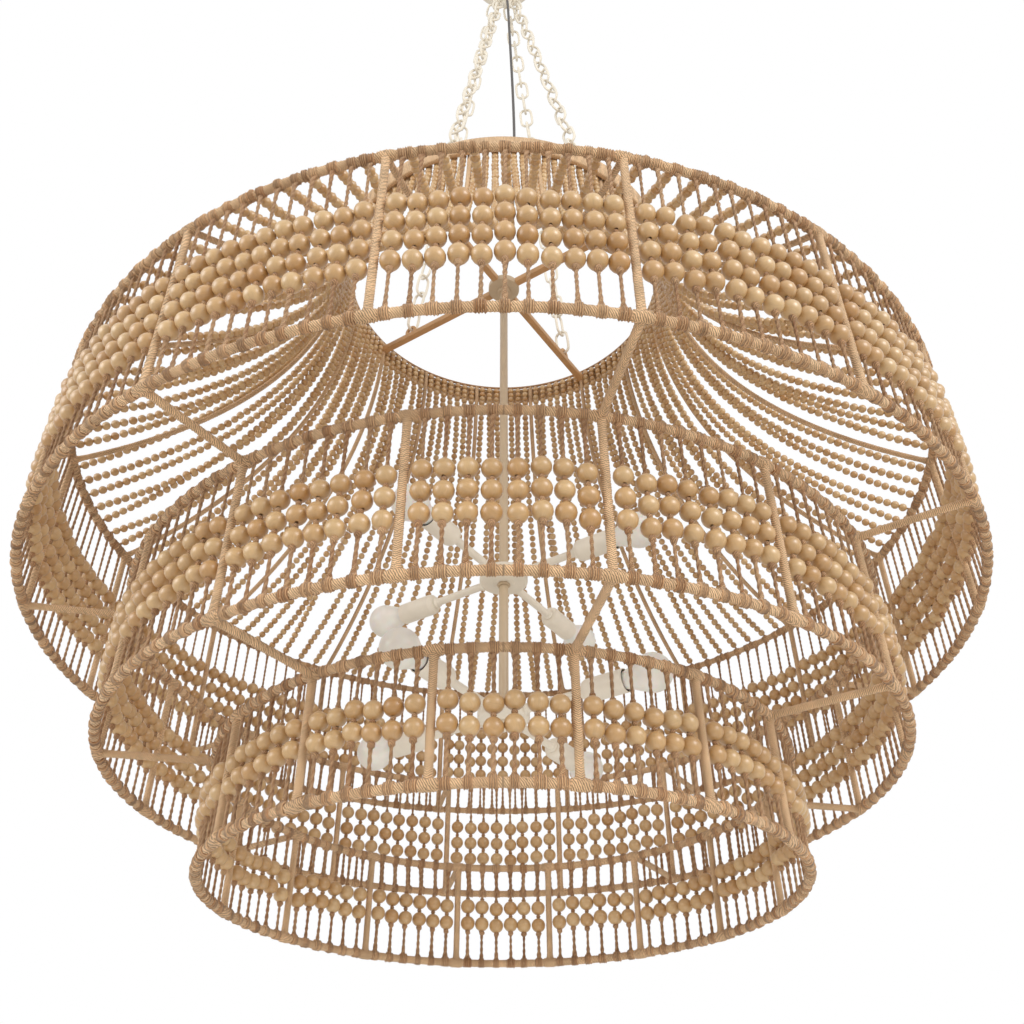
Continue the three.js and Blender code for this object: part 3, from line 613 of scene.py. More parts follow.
class Maker:
    """What every operator here shares: its sizes, and a check that the frame is loaded."""
    bl_options = {"REGISTER", "UNDO"}

    @classmethod
    def poll(cls, context):
        return bool(frame["nodes"])

    def execute(self, context):
        scene = context.scene
        self.make(scene.chandelier_hoops, scene.chandelier_beads, scene.chandelier_metal,
                  scene.chandelier_view)
        return {"FINISHED"}


# Stage

STUDIO_LAMPS = (            # name, place and width of each soft lamp
    ("key", (2.7, -3.6, -1.0), 1.8),
    ("fill", (-3.7, -2.2, -1.4), 2.6),
    ("floor_light", (0.2, -0.3, -4.25), 1.8),
)
SENSOR = 36.0               # the camera sensor's width, in millimetres
NEAREST, FARTHEST = 0.05, 50.0      # between which the camera sees
FLOOR_HALF = 14.0           # half the floor's width
FLOOR_CORNER = 8.0          # how far the floor's corners are rounded


class CHANDELIER_OT_stage(Maker, bpy.types.Operator):
    """Adds the camera, the pale floor and the soft light"""
    bl_idname = "chandelier.stage"
    bl_label = "Stage"

    def make(self, hoops, beads, metal, view):
        scene = bpy.context.scene
        camera = bpy.data.cameras.new("camera")
        camera.lens, camera.sensor_width, camera.sensor_fit = view.lens, SENSOR, "HORIZONTAL"
        camera.clip_start, camera.clip_end = NEAREST, FARTHEST
        seen = bpy.data.objects.new("camera", camera)
        aim = Matrix.Translation(view.place) @ Matrix.Rotation(view.heading, 4, "Z")
        aim = aim @ Matrix.Rotation(math.pi / 2 + view.pitch, 4, "X")
        seen.matrix_world = aim @ Matrix.Rotation(view.roll, 4, "Z")
        scene.collection.objects.link(seen)
        scene.camera = seen
        scene.view_settings.view_transform = "Standard"
        self.floor(view)
        self.world(scene, view)
        middle = Vector((0, 0, first_hoop(hoops)))
        powers = (view.key_power, view.fill_power, view.floor_power)
        for (name, place, width), energy in zip(STUDIO_LAMPS, powers):
            self.lamp(name, place, middle, width, energy)

    def floor(self, view):
        rim = softened(rectangle(FLOOR_HALF, FLOOR_HALF), FLOOR_CORNER, closed=True, steps=8)
        mesh = bpy.data.meshes.new("studio_floor")
        mesh.from_pydata([(x, y, -view.floor_drop) for x, y in rim], [], [list(range(len(rim)))])
        floor = bpy.data.objects.new("studio_floor", mesh)
        pale = bpy.context.scene.chandelier_colours.floor
        mesh.materials.append(paint_finish("studio_floor_finish", pale, 0.8, 0.01))
        bpy.context.scene.collection.objects.link(floor)

    def world(self, scene, view):
        world = bpy.data.worlds.new("studio")
        world.use_nodes = True
        tree = world.node_tree
        plain = tree.nodes["Background"]
        plain.inputs["Color"].default_value = (1.0, 1.0, 1.0, 1.0)
        plain.inputs["Strength"].default_value = view.ambient
        white = node(tree, "ShaderNodeBackground", {"Color": (1.0, 1.0, 1.0, 1.0), "Strength": 1.0})
        ray = node(tree, "ShaderNodeLightPath").outputs
        seen = calc(tree, "MAXIMUM", ray["Is Camera Ray"], ray["Is Glossy Ray"])
        seen = calc(tree, "MAXIMUM", seen, ray["Is Transmission Ray"])
        mixed = node(tree, "ShaderNodeMixShader", {0: seen, 1: plain.outputs[0], 2: white.outputs[0]})
        tree.links.new(mixed.outputs[0], tree.nodes["World Output"].inputs["Surface"])
        scene.world = world

    def lamp(self, name, place, target, width, energy):
        light = bpy.data.lights.new(name, "AREA")
        light.shape, light.size, light.energy = "DISK", width, energy
        made = bpy.data.objects.new(name, light)
        made.location = place
        made.rotation_euler = (target - Vector(place)).to_track_quat("-Z", "Y").to_euler()
        bpy.context.scene.collection.objects.link(made)


# Heights of the hanging pieces, from the ceiling down

COLLAR_HEIGHT = 0.009
NECK_HEIGHT = 0.016
LOOP_SINK = 0.00175         # how far the loop's wire sinks into its neck
GROMMET_PLACE = 0.027       # in front of the nipple
LEAD_RISE = 0.0041          # from the canopy's underside up to the lead's end in the grommet
LEAD_BOTTOM = -0.148
SWING_GAP = 0.007           # from the fixed lead to the solid of the swinging cable
NUT_HEIGHT = 0.010
NUT_WIDTH = 0.023
LUG_HOLE_RISE = 0.002       # from an arm's top to the lower edge of its lug's hole


def loop_centre(metal):
    neck_end = -metal.canopy_depth - 2 * GAP - COLLAR_HEIGHT - NECK_HEIGHT
    return neck_end - metal.loop_radius + LOOP_SINK


def ring_centre(metal):
    return loop_centre(metal) - metal.loop_radius + metal.ring_wire + 2 * GAP - metal.ring_radius


def arm_top(hoops, metal):
    return -hoops.band_drop + metal.spider_rise + metal.spider_bar


def first_hoop(hoops):
    """Height of the middle of the first tier's upper hoop, where the dome ends."""
    return -hoops.band_drop - hoops.dome_height


# Supply cable

# Shares, from the top down, of the drop, of the bow to the right and of the lead's distance in front.
CABLE_SHARES = (
    (0, 0, 1), (0.02, 0.04, 1.03), (0.04, 0.16, 1.1), (0.06, 0.3, 1.15), (0.1, 0.41, 1.14),
    (0.15, 0.5, 1.1), (0.22, 0.6, 0.98), (0.29, 0.7, 0.85), (0.44, 0.9, 0.6), (0.59, 1, 0.45),
    (0.74, 0.9, 0.3), (0.82, 0.75, 0.21), (0.87, 0.6, 0.15), (0.92, 0.42, 0.09), (0.95, 0.27, 0.05),
    (0.98, 0.06, 0), (1, 0, 0),
)


class CHANDELIER_OT_cable(Maker, bpy.types.Operator):
    """Adds the supply cable, from the canopy's grommet to the spider's entry nut"""
    bl_idname = "chandelier.cable"
    bl_label = "Supply cable"

    def make(self, hoops, beads, metal, view):
        join = LEAD_BOTTOM - SWING_GAP / 2
        lead_top = -metal.canopy_depth + LEAD_RISE
        lead = spaced(np.array([(0, -GROMMET_PLACE, lead_top), (0, -GROMMET_PLACE, join)]), 18)
        top = LEAD_BOTTOM - SWING_GAP
        drop = arm_top(hoops, metal) + NUT_HEIGHT + 2 * GAP - top
        route = [(metal.cable_bow * right, -GROMMET_PLACE * near, top + drop * down)
                 for down, right, near in CABLE_SHARES]
        hanging = np.vstack([lead[-1], smooth_line(route, 39)])
        upper = self.cable("supply_lead", lead, metal.cable, "cable_lead")
        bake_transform(upper)
        lower = self.cable("supply_cable", hanging, metal.cable, "power_cable")
        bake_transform(lower)

    def cable(self, name, path, diameter, node_name):
        shell = Shell()
        shell.sweep(path, (0.0, -1.0, 0.0), circle(12, diameter / 2))
        return shell.piece(name, "dark_cable", node_name, riding=False)


# Canopy

class CHANDELIER_OT_canopy(Maker, bpy.types.Operator):
    """Adds the canopy with its collar, grommet and loop, and finishes the bracket inside it"""
    bl_idname = "chandelier.canopy"
    bl_label = "Canopy"

    def make(self, hoops, beads, metal, view):
        for name in ("ceiling_bracket", "mounting_nipple", "nipple_lock_nut"):
            piece = frame["nodes"][name]
            for place in piece.material_slots:
                place.material = finish("zinc_steel")
        self.cover(metal)
        self.fittings(metal)

    def cover(self, metal):
        radius, depth, wall, hole = metal.canopy / 2, metal.canopy_depth, 0.0016, 0.0056
        shoulder, rim, floor_share = -depth * 0.62, -0.001, 0.87
        lip, lip_height = 0.0005, 0.002
        turn = np.linspace(0, 1, 12)[:, None] * TAU / 4
        out = radius * (floor_share + (1 - floor_share) * np.sin(turn))
        side = np.hstack([out, shoulder - (depth + shoulder) * np.cos(turn)])
        outside = [(hole, -depth), *side, (radius, rim - lip_height), (radius + lip, rim)]
        inside = [(r - wall * (r > hole + wall), max(z, -depth) + wall) for r, z in outside[-3::-1]]
        shell = Shell()
        shell.turned(outside + [(radius - wall, rim)] + inside, 96, closed=True)
        shell.piece("canopy_shell", "white_paint", "canopy_cover", "ceiling_group", 35)

    def fittings(self, metal):
        top = -metal.canopy_depth - GAP
        collar_end = top - COLLAR_HEIGHT
        self.collar(top, collar_end)
        self.grommet(metal, top)
        loop = Shell()
        high = collar_end - GAP
        low = high - NECK_HEIGHT
        neck, pinhole, flare = 0.008, 0.0005, 0.003
        profile = [(pinhole, low), (0.0062, low), (neck, low + flare), (neck, high), (pinhole, high)]
        loop.turned(softened(profile, 0.0008), 32)
        path = standing_ring(metal.loop_radius, loop_centre(metal), 64, (0.0, 1.0, 0.0))
        loop.sweep(path, (1.0, 0.0, 0.0), circle(16, metal.ring_wire / 2), closed=True)
        loop.piece("canopy_loop_cast", "white_paint", "canopy_loop", "ceiling_group", 50)

    def collar(self, top, bottom):
        bore, outer, foot, waist_share = 0.0053, 0.015, 0.012, 0.55
        profile = [(bore, bottom), (foot, bottom), (outer, top - COLLAR_HEIGHT * waist_share),
                   (outer, top), (bore, top)]
        shell = Shell()
        shell.turned(softened(profile, 0.0012, closed=True), 48, closed=True)
        shell.piece("canopy_collar_turned", "white_paint", "canopy_collar", "ceiling_group", 40)

    def grommet(self, metal, top):
        """A bush in the canopy's hole, with a flange under it and a short tapered sleeve below that."""
        inner, barrel, flange = metal.cable / 2 + 0.0001, 0.0067, 0.008
        low, sleeve, barrel_top, edge = top - 0.0025, 0.004, top + 0.0044, 0.0012
        profile = [(inner, low - sleeve), (inner + edge, low - sleeve), (flange - 0.002, low),
                   (flange, top - edge), (flange, top), (barrel, top), (barrel, barrel_top),
                   (inner, barrel_top)]
        shell = Shell()
        shell.turned(softened(profile, 0.0006, closed=True, steps=2), 32,
                     Matrix.Translation((0, -GROMMET_PLACE, 0)), closed=True)
        shell.piece("cable_gland", "dark_cable", "cable_grommet", "ceiling_group")


# Chains

CHAIN_SPACING = 0.5         # radians between two chains on the ring


class CHANDELIER_OT_chains(Maker, bpy.types.Operator):
    """Adds the gathering ring and the four chains"""
    bl_idname = "chandelier.chains"
    bl_label = "Chains"

    def make(self, hoops, beads, metal, view):
        middle = ring_centre(metal)
        ring = Shell()
        path = standing_ring(metal.ring_radius, middle, 96, (1.0, 0.0, 0.0))
        ring.sweep(path, (0.0, 1.0, 0.0), circle(16, metal.ring_wire / 2), closed=True)
        ring.piece("gathering_ring_forged", "white_paint", "gathering_ring", "ring")
        order = np.argsort(np.argsort(np.sin(SPIDER_ANGLES)))
        wire = metal.link_wire / 2
        on_ring = metal.ring_radius - metal.ring_wire / 2 - wire - GAP
        hole = arm_top(hoops, metal) + metal.lug_hole / 2 + LUG_HOLE_RISE
        for i, angle in enumerate(SPIDER_ANGLES):
            place = (order[i] - 1.5) * CHAIN_SPACING
            start = np.array([on_ring * math.sin(place), 0.0, middle - on_ring * math.cos(place)])
            end = polar(angle, metal.lug_place, hole + metal.lug_hole / 2 - wire - GAP)
            aside = polar(angle + TAU / 4, 1.0, 0.0)
            links = self.links(start, end, np.array([0.0, 1.0, 0.0]), aside, metal)
            links.piece(f"chain_links_{i + 1}", "white_paint", f"chain_{i + 1}")

    def links(self, start, end, first_across, last_across, metal):
        """Links that turn a quarter at each step, and a little more or less so that both ends lie square."""
        along = unit(end - start)
        reach = np.linalg.norm(end - start)
        count = round((reach - metal.link_wire) / metal.link_pitch)
        pitch = (reach - metal.link_wire) / count
        first = unit(first_across - along * (first_across @ along))
        side = np.cross(along, first)
        twist = math.atan2(last_across @ side, last_across @ first) - (count - 1) * math.pi / 2
        twist -= math.pi * round(twist / math.pi)
        number = np.arange(count)
        turn = number * (math.pi / 2 + twist / (count - 1))
        across = np.cos(turn)[:, None] * first + np.sin(turn)[:, None] * side
        normal = np.cross(along, across)
        half_length, half_width = (pitch + metal.link_wire) / 2, (metal.link_width - metal.link_wire) / 2
        around = full_turn(28)
        flat = half_length - half_width
        wide = half_width * np.cos(around)
        tall = half_width * np.sin(around) + flat * np.clip(np.sin(around) * 3.0, -1, 1)
        centres = start + along * (half_length + number[:, None] * pitch)
        path = centres[:, None] + wide[None, :, None] * across[:, None] + tall[None, :, None] * along
        shell = Shell()
        shell.sweep(path, normal[:, None], circle(8, metal.link_wire / 2), closed=True)
        return shell


# Spider

class CHANDELIER_OT_spider(Maker, bpy.types.Operator):
    """Adds the spider's hub and arms with their lugs, the cable's entry nut, and the stem with its nut"""
    bl_idname = "chandelier.spider"
    bl_label = "Spider and stem"

    def make(self, hoops, beads, metal, view):
        top = arm_top(hoops, metal)
        for i, angle in enumerate(SPIDER_ANGLES):
            arm = Shell()
            self.bar(arm, hoops, metal, angle)
            self.lug(arm, metal, angle, top)
            arm.piece(f"spider_bar_{i + 1}", "tan_paint", f"spider_arm_{i + 1}", sharp=50)
        hub = Shell()
        radius, bottom = metal.spider_hub / 2, top - metal.spider_hub_height
        disc, neck, edge = bottom + 0.010, metal.stem / 2 + 0.006, 0.002
        profile = [(PIN, bottom), (neck - edge, bottom), (neck, bottom + edge), (neck, disc), (radius, disc),
                   (radius, top), (PIN, top)]
        hub.turned(softened(profile, 0.0015), 64)
        hub.piece("spider_disc", "stem_paint", "spider_hub", sharp=50)
        self.nut("entry_nut", "cable_entry_nut", top + GAP, top + GAP + NUT_HEIGHT)
        half = metal.cluster_hub_height / 2
        self.stem("stem_upper", bottom - GAP, level("upper_cluster_hub") + half + GAP, metal)
        self.stem("stem_lower", extent("stem_lower")[1], level("lower_cluster_hub") + half + GAP, metal)
        self.nut("stem_lock_nut", "stem_nut", *extent("stem_nut"))

    def nut(self, name, node_name, low, high):
        nut = Shell()
        hexagon(nut, NUT_WIDTH / 2, low, high)
        nut.piece(name, "stem_paint", node_name, sharp=30)

    def stem(self, node_name, high, low, metal):
        rod, radius = Shell(), metal.stem / 2
        rod.turned(softened([(PIN, low), (radius, low), (radius, high), (PIN, high)], 0.001), 32)
        rod.piece(node_name + "_tube", "stem_paint", node_name, sharp=50)

    def bar(self, shell, hoops, metal, angle):
        start = metal.spider_hub / 2 + GAP
        end = hoops.band_radius - hoops.band_thickness / 2 - 0.002
        half = metal.spider_bar / 2
        path = polar(angle, np.linspace(start, end, 6), arm_top(hoops, metal) - half)
        shell.sweep(path, UP, softened(rectangle(half, half), 0.0016, closed=True))

    def lug(self, shell, metal, angle, top):
        """A round-ended plate that stands on the arm, with a hole for the chain's last link."""
        hole, half, edge, foot = metal.lug_hole / 2, 0.003, 0.0008, 0.001
        rise = hole + LUG_HOLE_RISE
        turn = full_turn(40)
        down = np.maximum(-np.sin(turn), 1e-6)
        outer = np.minimum(metal.lug_radius, (rise + foot) / down)
        inner = np.full_like(outer, hole)
        section = [(inner, -half + edge), (inner + edge, -half), (outer - edge, -half), (outer, -half + edge),
                   (outer, half - edge), (outer - edge, half), (inner + edge, half), (inner, half - edge)]
        reaches = np.stack([r for r, _ in section], axis=-1)
        depth = np.array([d for _, d in section])
        along, aside = polar(angle, 1.0, 0.0), polar(angle + TAU / 4, 1.0, 0.0)
        centre = polar(angle, metal.lug_place, top + rise)
        round_hole = np.cos(turn)[:, None, None] * along + np.sin(turn)[:, None, None] * UP
        points = centre + reaches[..., None] * round_hole + depth[:, None] * aside
        shell.add(points[None], tube_faces(1, len(turn), len(section), True), points[None], 0.5)


def extent(node_name):
    """The lowest and highest point of a node."""
    low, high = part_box(node_name)
    return low.z, high.z


def level(node_name):
    """The middle height of a node."""
    low, high = extent(node_name)
    return (low + high) / 2


def hexagon(shell, radius, low, high):
    """A six-sided nut with its corners turned down."""
    sides = 48
    turn = full_turn(sides)
    flat = radius * math.cos(math.pi / 6)
    reach = flat / np.cos((turn + math.pi / 6) % (math.pi / 3) - math.pi / 6)
    round_edge = np.minimum(reach, flat * 1.03)
    chamfer = (high - low) * 0.18
    rows = [(round_edge, low), (reach, low + chamfer), (reach, high - chamfer), (round_edge, high)]
    outward = np.stack([np.sin(turn), -np.cos(turn)], axis=-1)
    points = np.stack([np.hstack([r[:, None] * outward, np.full((sides, 1), z)]) for r, z in rows])
    shell.add(points[None], tube_faces(1, len(rows), sides, False), points[None], 0.5)


# Lamps

ARMS = 4                    # on each cluster's hub
CAP_LENGTH = 0.026          # of a bulb's screw cap


class CHANDELIER_OT_lamps(Maker, bpy.types.Operator):
    """Adds the two lamp clusters with their hubs, arms, sockets and bulbs"""
    bl_idname = "chandelier.lamps"
    bl_label = "Lamps"

    def make(self, hoops, beads, metal, view):
        clusters = ("upper_cluster_hub", "lower_cluster_hub")
        for name in clusters:
            self.hub(name, metal)
        self.finial()
        for number in range(ARMS * len(clusters)):
            angle = SPIDER_ANGLES[number % ARMS]
            self.lamp(number + 1, outwards(angle, level(clusters[number // ARMS])), metal)

    def finial(self):
        """A collar, a waist and a button, in shares of the radius and of the height from the top down."""
        low, high = extent("finial")
        radius = 0.010
        shares = [(0.05, 1), (0.45, 0.98), (0.62, 0.86), (0.6, 0.74), (0.46, 0.6), (0.5, 0.5), (0.95, 0.36),
                  (1, 0.3), (1, 0.06), (0.92, 0), (0.05, 0)]
        finial = Shell()
        finial.turned([(r * radius, high - d * (high - low)) for r, d in shares], 32)
        finial.piece("finial_turned", "white_paint", "finial", sharp=50)

    def hub(self, name, metal):
        half, radius = metal.cluster_hub_height / 2, metal.cluster_hub / 2
        step, edge, edge_share = 0.001, 0.0035, 0.9
        profile = [(PIN, -half), (radius * 0.42, -half), (radius * 0.46, -half + step),
                   (radius * edge_share, -half + step), (radius, -half + edge), (radius, half - edge),
                   (radius * edge_share, half), (PIN, half)]
        shell = Shell()
        shell.turned(softened(profile, 0.0016), 72, Matrix.Translation((0, 0, level(name))))
        shell.piece(name + "_disc", "white_paint", name, sharp=40)

    def lamp(self, number, placing, metal):
        back, mouth = metal.socket_place, metal.socket_place + metal.socket_length
        wall, depth = 0.0012, 0.030
        floor = mouth - depth
        self.arm(number, placing, metal, back)
        self.socket(number, placing, metal, back, mouth, floor, wall)
        self.lining(number, placing, metal, mouth, floor, wall)
        seat = floor + 0.001
        self.bulb_cap(number, placing, seat)
        self.bulb_glass(number, placing, metal, seat + CAP_LENGTH)

    def arm(self, number, placing, metal, back):
        """A tube with a collar at the hub and a ring at the socket."""
        start, end, radius = metal.cluster_hub / 2 - 0.0005, back - 0.0005, metal.arm / 2
        collar, ring = radius + 0.002, radius + 0.0035
        profile = [(PIN, start), (collar, start), (collar, start + 0.004), (radius, start + 0.0055),
                   (radius, back - 0.006), (ring, back - 0.0042), (ring, end), (PIN, end)]
        shell = Shell()
        shell.turned(softened(profile, 0.0008), 32, placing)
        shell.piece(f"lamp_tube_{number}", "white_paint", f"lamp_arm_{number}", sharp=45)

    def socket(self, number, placing, metal, back, mouth, floor, wall):
        """A cup with a rounded back and an open mouth."""
        outer, bevel = metal.socket / 2, 0.008
        inner = outer - wall
        profile = [(PIN, back), (outer * 0.62, back), (outer * 0.88, back + 0.0025), (outer, back + bevel),
                   (outer, mouth - 0.001), (outer - 0.0005, mouth), (inner, mouth), (inner, floor),
                   (PIN, floor)]
        shell = Shell()
        shell.turned(softened(profile, 0.0008, steps=2), 56, placing)
        shell.piece(f"lamp_cup_{number}", "white_paint", f"lamp_socket_{number}", sharp=35)

    def lining(self, number, placing, metal, mouth, floor, wall):
        """A dark cup inside the socket, a little clear of its wall and floor: painted shade for the dim inside
        of the socket.
        """
        clear, thickness = 0.0002, 0.0005
        outer, inner = metal.socket / 2 - wall - clear, 0.0150
        low, high = floor + clear, mouth - 0.003
        base = low + thickness
        profile = [(PIN, low), (outer, low), (outer, high), (inner, high), (inner, base), (PIN, base)]
        shell = Shell()
        shell.turned(profile, 40, placing)
        shell.piece(f"lamp_socket_shade_{number}", "socket_black", sharp=35)

    def bulb_cap(self, number, placing, seat):
        """A screw cap of seven turns."""
        radius, plain, contact, end = 0.0133, 0.004, 0.005, seat + CAP_LENGTH
        thread = CAP_LENGTH - 2 * plain
        screw = [(radius * (0.955 + 0.045 * math.cos(7 * TAU * t)), seat + plain + t * thread)
                 for t in np.linspace(0, 1, 37)]
        shell = Shell()
        shell.turned([(PIN, seat), (contact, seat), (radius * 0.7, seat + 0.003), *screw,
                      (radius, end - 0.003), (radius, end), (PIN, end)], 32, placing)
        shell.piece(f"bulb_cap_{number}", "zinc_steel", body=f"lamp_{number}", sharp=50)

    def bulb_glass(self, number, placing, metal, start):
        """A pear-shaped bulb: a neck, a waist that swells, and a globe."""
        radius, tip, neck = metal.globe / 2, start + metal.globe_length - 0.001, 0.0140
        centre = tip - radius
        shares = [(0.0, 0.93), (0.06, 1.0), (0.12, 1.02)]
        profile = [(neck * r, start + radius * s) for s, r in shares]
        waist = profile[-1]
        turn_from = -0.62
        low_radius, low = radius * math.cos(turn_from), centre + radius * math.sin(turn_from)
        for t in np.linspace(0, 1, 9)[1:-1]:
            ease = (t * t * (3 - 2 * t) * 0.35 + t * 0.65) ** 1.15
            profile.append((waist[0] + (low_radius - waist[0]) * ease, waist[1] + (low - waist[1]) * t))
        for angle in np.linspace(turn_from, math.pi / 2 - 0.06, 18):
            profile.append((radius * math.cos(angle), centre + radius * math.sin(angle)))
        glass = Shell()
        glass.turned([(PIN, start), *profile, (0.0002, tip)], 48, placing)
        glass.piece(f"bulb_glass_{number}", "frosted_glass", f"bulb_{number}", f"lamp_{number}")


# Twine forms that the crown and the tiers share

WRAP_STEP = 0.0022          # along a wrapped rod, between two turns of its twine
WRAP_SIDES = 10
WRAP_DEPTH = 0.00035        # how far one turn stands above the next
CORD_STEP = 0.0025
CORD_SIDES = 8
CORD_TWIST = 0.021          # length of one turn of the two strands
CONE_LENGTH = 0.011         # over which a cord fans out towards its hoop
TIE_TURNS = 4
TIE_DEPTH = 0.0015          # how far a turn of a tie stands above the hoop
JOINT_REACH = 0.012         # half the width of the turns that bind a post to a hoop
JOINT_DEPTH = 0.0018        # how far these turns stand above the hoop
FLARE_LENGTH = 0.009        # over which a rod swells towards its hoop
UNEVEN = 0.00025            # how far the surface of a tie or a joint strays


def wrapped(stations, lines, radius, chance):
    """Sections of a rod wrapped in twine, whose turns stand out and sink in by turns."""
    high = (np.arange(stations)[:, None] + np.arange(WRAP_SIDES)[None, :]) % 2 * 2 - 1
    reach = radius + WRAP_DEPTH * high[None] + chance.normal(0, 0.00012, (lines, stations, WRAP_SIDES))
    return circle(WRAP_SIDES)[None, None] * reach[..., None]


def even(length, step):
    return 2 * max(1, round(length / step / 2))


def wrapped_hoop(name, node_name, radius, height, thickness, seed):
    chance = np.random.default_rng(seed)
    stations = even(TAU * radius, WRAP_STEP)
    path = polar(full_turn(stations), radius, height)
    shell = Shell()
    tone = 0.88 + 0.12 * np.sin(chance.uniform(0, TAU) + 40 * TAU * np.arange(stations) / stations)
    shell.sweep(path, UP, wrapped(stations, 1, thickness / 2, chance), tone[None], closed=True)
    shell.piece(name, "twine", node_name)


def bent(starts, via, ends, share):
    """Places on curves that leave their starts, and reach their ends, in line with a third point."""
    return (1 - share) ** 2 * starts + 2 * share * (1 - share) * via + share ** 2 * ends


def wrapped_rods(shell, starts, ends, across, thickness, chance, flare=(0.0, 0.0), tone=0.95, via=None):
    """Wrapped rods, straight or bent, each wider towards its ends by the flare of that end."""
    reach = np.linalg.norm(ends - starts, axis=1).max()
    stations = even(reach, WRAP_STEP)
    share = np.linspace(0, 1, stations)[None, :, None]
    via = (starts + ends) / 2 if via is None else via
    path = bent(starts[:, None], via[:, None], ends[:, None], share)
    section = wrapped(stations, len(starts), thickness / 2, chance)
    run = share[0, :, 0] * reach
    near, far = np.exp(-(run / FLARE_LENGTH) ** 2), np.exp(-((reach - run) / FLARE_LENGTH) ** 2)
    wider = flare[0] * near + flare[1] * far
    section = section * (1 + wider / (thickness / 2))[None, :, None, None]
    tones = tone - 0.25 * (wider / max(max(flare), 1e-6))[None]
    shell.sweep(path, across[:, None], section, np.broadcast_to(tones, path.shape[:2]))


def ties(shell, angles, radius, height, hoop_thickness, width, hang, chance, tone=0.68):
    """Twine tied round a hoop at each angle: turns side by side, and a knot on the side that hangs."""
    count, stations, sides = len(angles), 2 * TIE_TURNS + 1, 12
    share = np.linspace(-1, 1, stations)
    widths = width * chance.uniform(0.8, 1.2, count)
    path = polar(angles[:, None] + share[None] * widths[:, None] / 2 / radius, radius, height)
    crest = (np.arange(stations) % 2)[None] * chance.uniform(0.7, 1.3, (count, stations))
    bulge = (0.0002 + TIE_DEPTH * crest)[..., None]
    facing = np.maximum(hang * np.cos(full_turn(sides)), 0)[None, None] ** 2
    lean = (1 - share ** 2)[None, :, None] * chance.uniform(0.0012, 0.0034, (count, 1, 1))
    rough = chance.normal(0, UNEVEN, (count, stations, sides))
    reach = hoop_thickness / 2 + bulge + facing * lean + rough
    # The valleys between the turns are painted darker than the crests: painted shade.
    shade = tone * (0.35 + 0.65 * np.minimum(crest, 1))
    tones = np.clip(shade + chance.normal(0, 0.1, (count, 1)), 0, 1)
    shell.sweep(path, UP, circle(sides) * reach[..., None], tones)


def cords(shell, starts, ends, across, thickness, cones, chance, tone=0.5):
    """Two-strand cords. cones says how much wider each gets, along the hoop, towards both its ends."""
    reach = np.linalg.norm(ends - starts, axis=1).mean()
    stations = even(reach, CORD_STEP) + 1
    share = np.linspace(0, 1, stations)[None, :, None]
    run = share[0, :, 0] * reach
    path = starts[:, None] * (1 - share) + ends[:, None] * share
    twist = TAU * run[None] / CORD_TWIST + chance.uniform(0, TAU, (len(starts), 1))
    turn = full_turn(CORD_SIDES)
    crest = np.abs(np.cos(turn[None, None] - twist[..., None]))
    body = (thickness / 2) * chance.uniform(0.86, 1.14, (len(starts), 1, 1)) * (0.5 + 0.5 * crest)
    body = body * (1 + chance.normal(0, 0.06, (len(starts), stations, 1)))
    near, far = np.exp(-run / CONE_LENGTH), np.exp(-(reach - run) / CONE_LENGTH)
    wider = cones[0] * near + cones[1] * far
    fan = wider[None] * chance.uniform(0.6, 1.3, (len(starts), 1))
    section = circle(CORD_SIDES) * body[..., None]
    section[..., 1] += np.sin(turn)[None, None] * fan[..., None]
    # The grooves between the two strands are painted darker than their crests: painted shade, with a random
    # tone for each cord.
    tones = tone * (0.15 + 0.95 * crest) + chance.normal(0, 0.08, (len(starts), 1, 1))
    shell.sweep(path, across[:, None], section, np.clip(tones, 0, 1))


def knots(shell, centres, along, across, radius, half_length, chance, tone=0.4):
    """Small lumps of twine above, between and under beads."""
    share = np.array([-1.0, -0.55, 0.0, 0.55, 1.0])
    fat = np.array([0.55, 0.95, 1.05, 0.95, 0.55])
    path = centres[:, None] + along[:, None] * (share * half_length)[None, :, None]
    reach = radius * fat[None, :, None] * chance.uniform(0.82, 1.16, (len(centres), 5, 8))
    tones = np.clip(tone + chance.normal(0, 0.08, (len(centres), 1)), 0, 1)
    shell.sweep(path, across[:, None], circle(8) * reach[..., None], np.broadcast_to(tones, path.shape[:2]))


def random_turns(count, chance):
    """A random turning for each of many beads."""
    q = unit(chance.normal(size=(count, 4)))
    w, x, y, z = q.T
    return np.stack([
        np.stack([1 - 2 * (y * y + z * z), 2 * (x * y - w * z), 2 * (x * z + w * y)], axis=-1),
        np.stack([2 * (x * y + w * z), 1 - 2 * (x * x + z * z), 2 * (y * z - w * x)], axis=-1),
        np.stack([2 * (x * z - w * y), 2 * (y * z + w * x), 1 - 2 * (x * x + y * y)], axis=-1),
    ], axis=-2)


def bead_grain(template, count, chance):
    """Where each bead was cut from the wood, as a place for every one of its points."""
    cut = random_turns(count, chance)
    return np.einsum("nij,pj->npi", cut, template) + chance.uniform(-3, 3, (count, 1, 3))


BEAD_HEIGHT_SHARE = 0.965   # of a bead's width, for its height along the bore


def bored_bead(radius, bore, sides=16, steps=8):
    """A turned bead with its hole: an outline carried round its axis."""
    end = math.pi / 2 - math.asin(bore / radius)
    turn = np.linspace(-end, end, steps + 1)
    profile = np.stack([radius * np.cos(turn), radius * BEAD_HEIGHT_SHARE * np.sin(turn)], axis=-1)
    return carried_round(profile, sides).reshape(-1, 3), tube_faces(1, len(profile), sides, True)


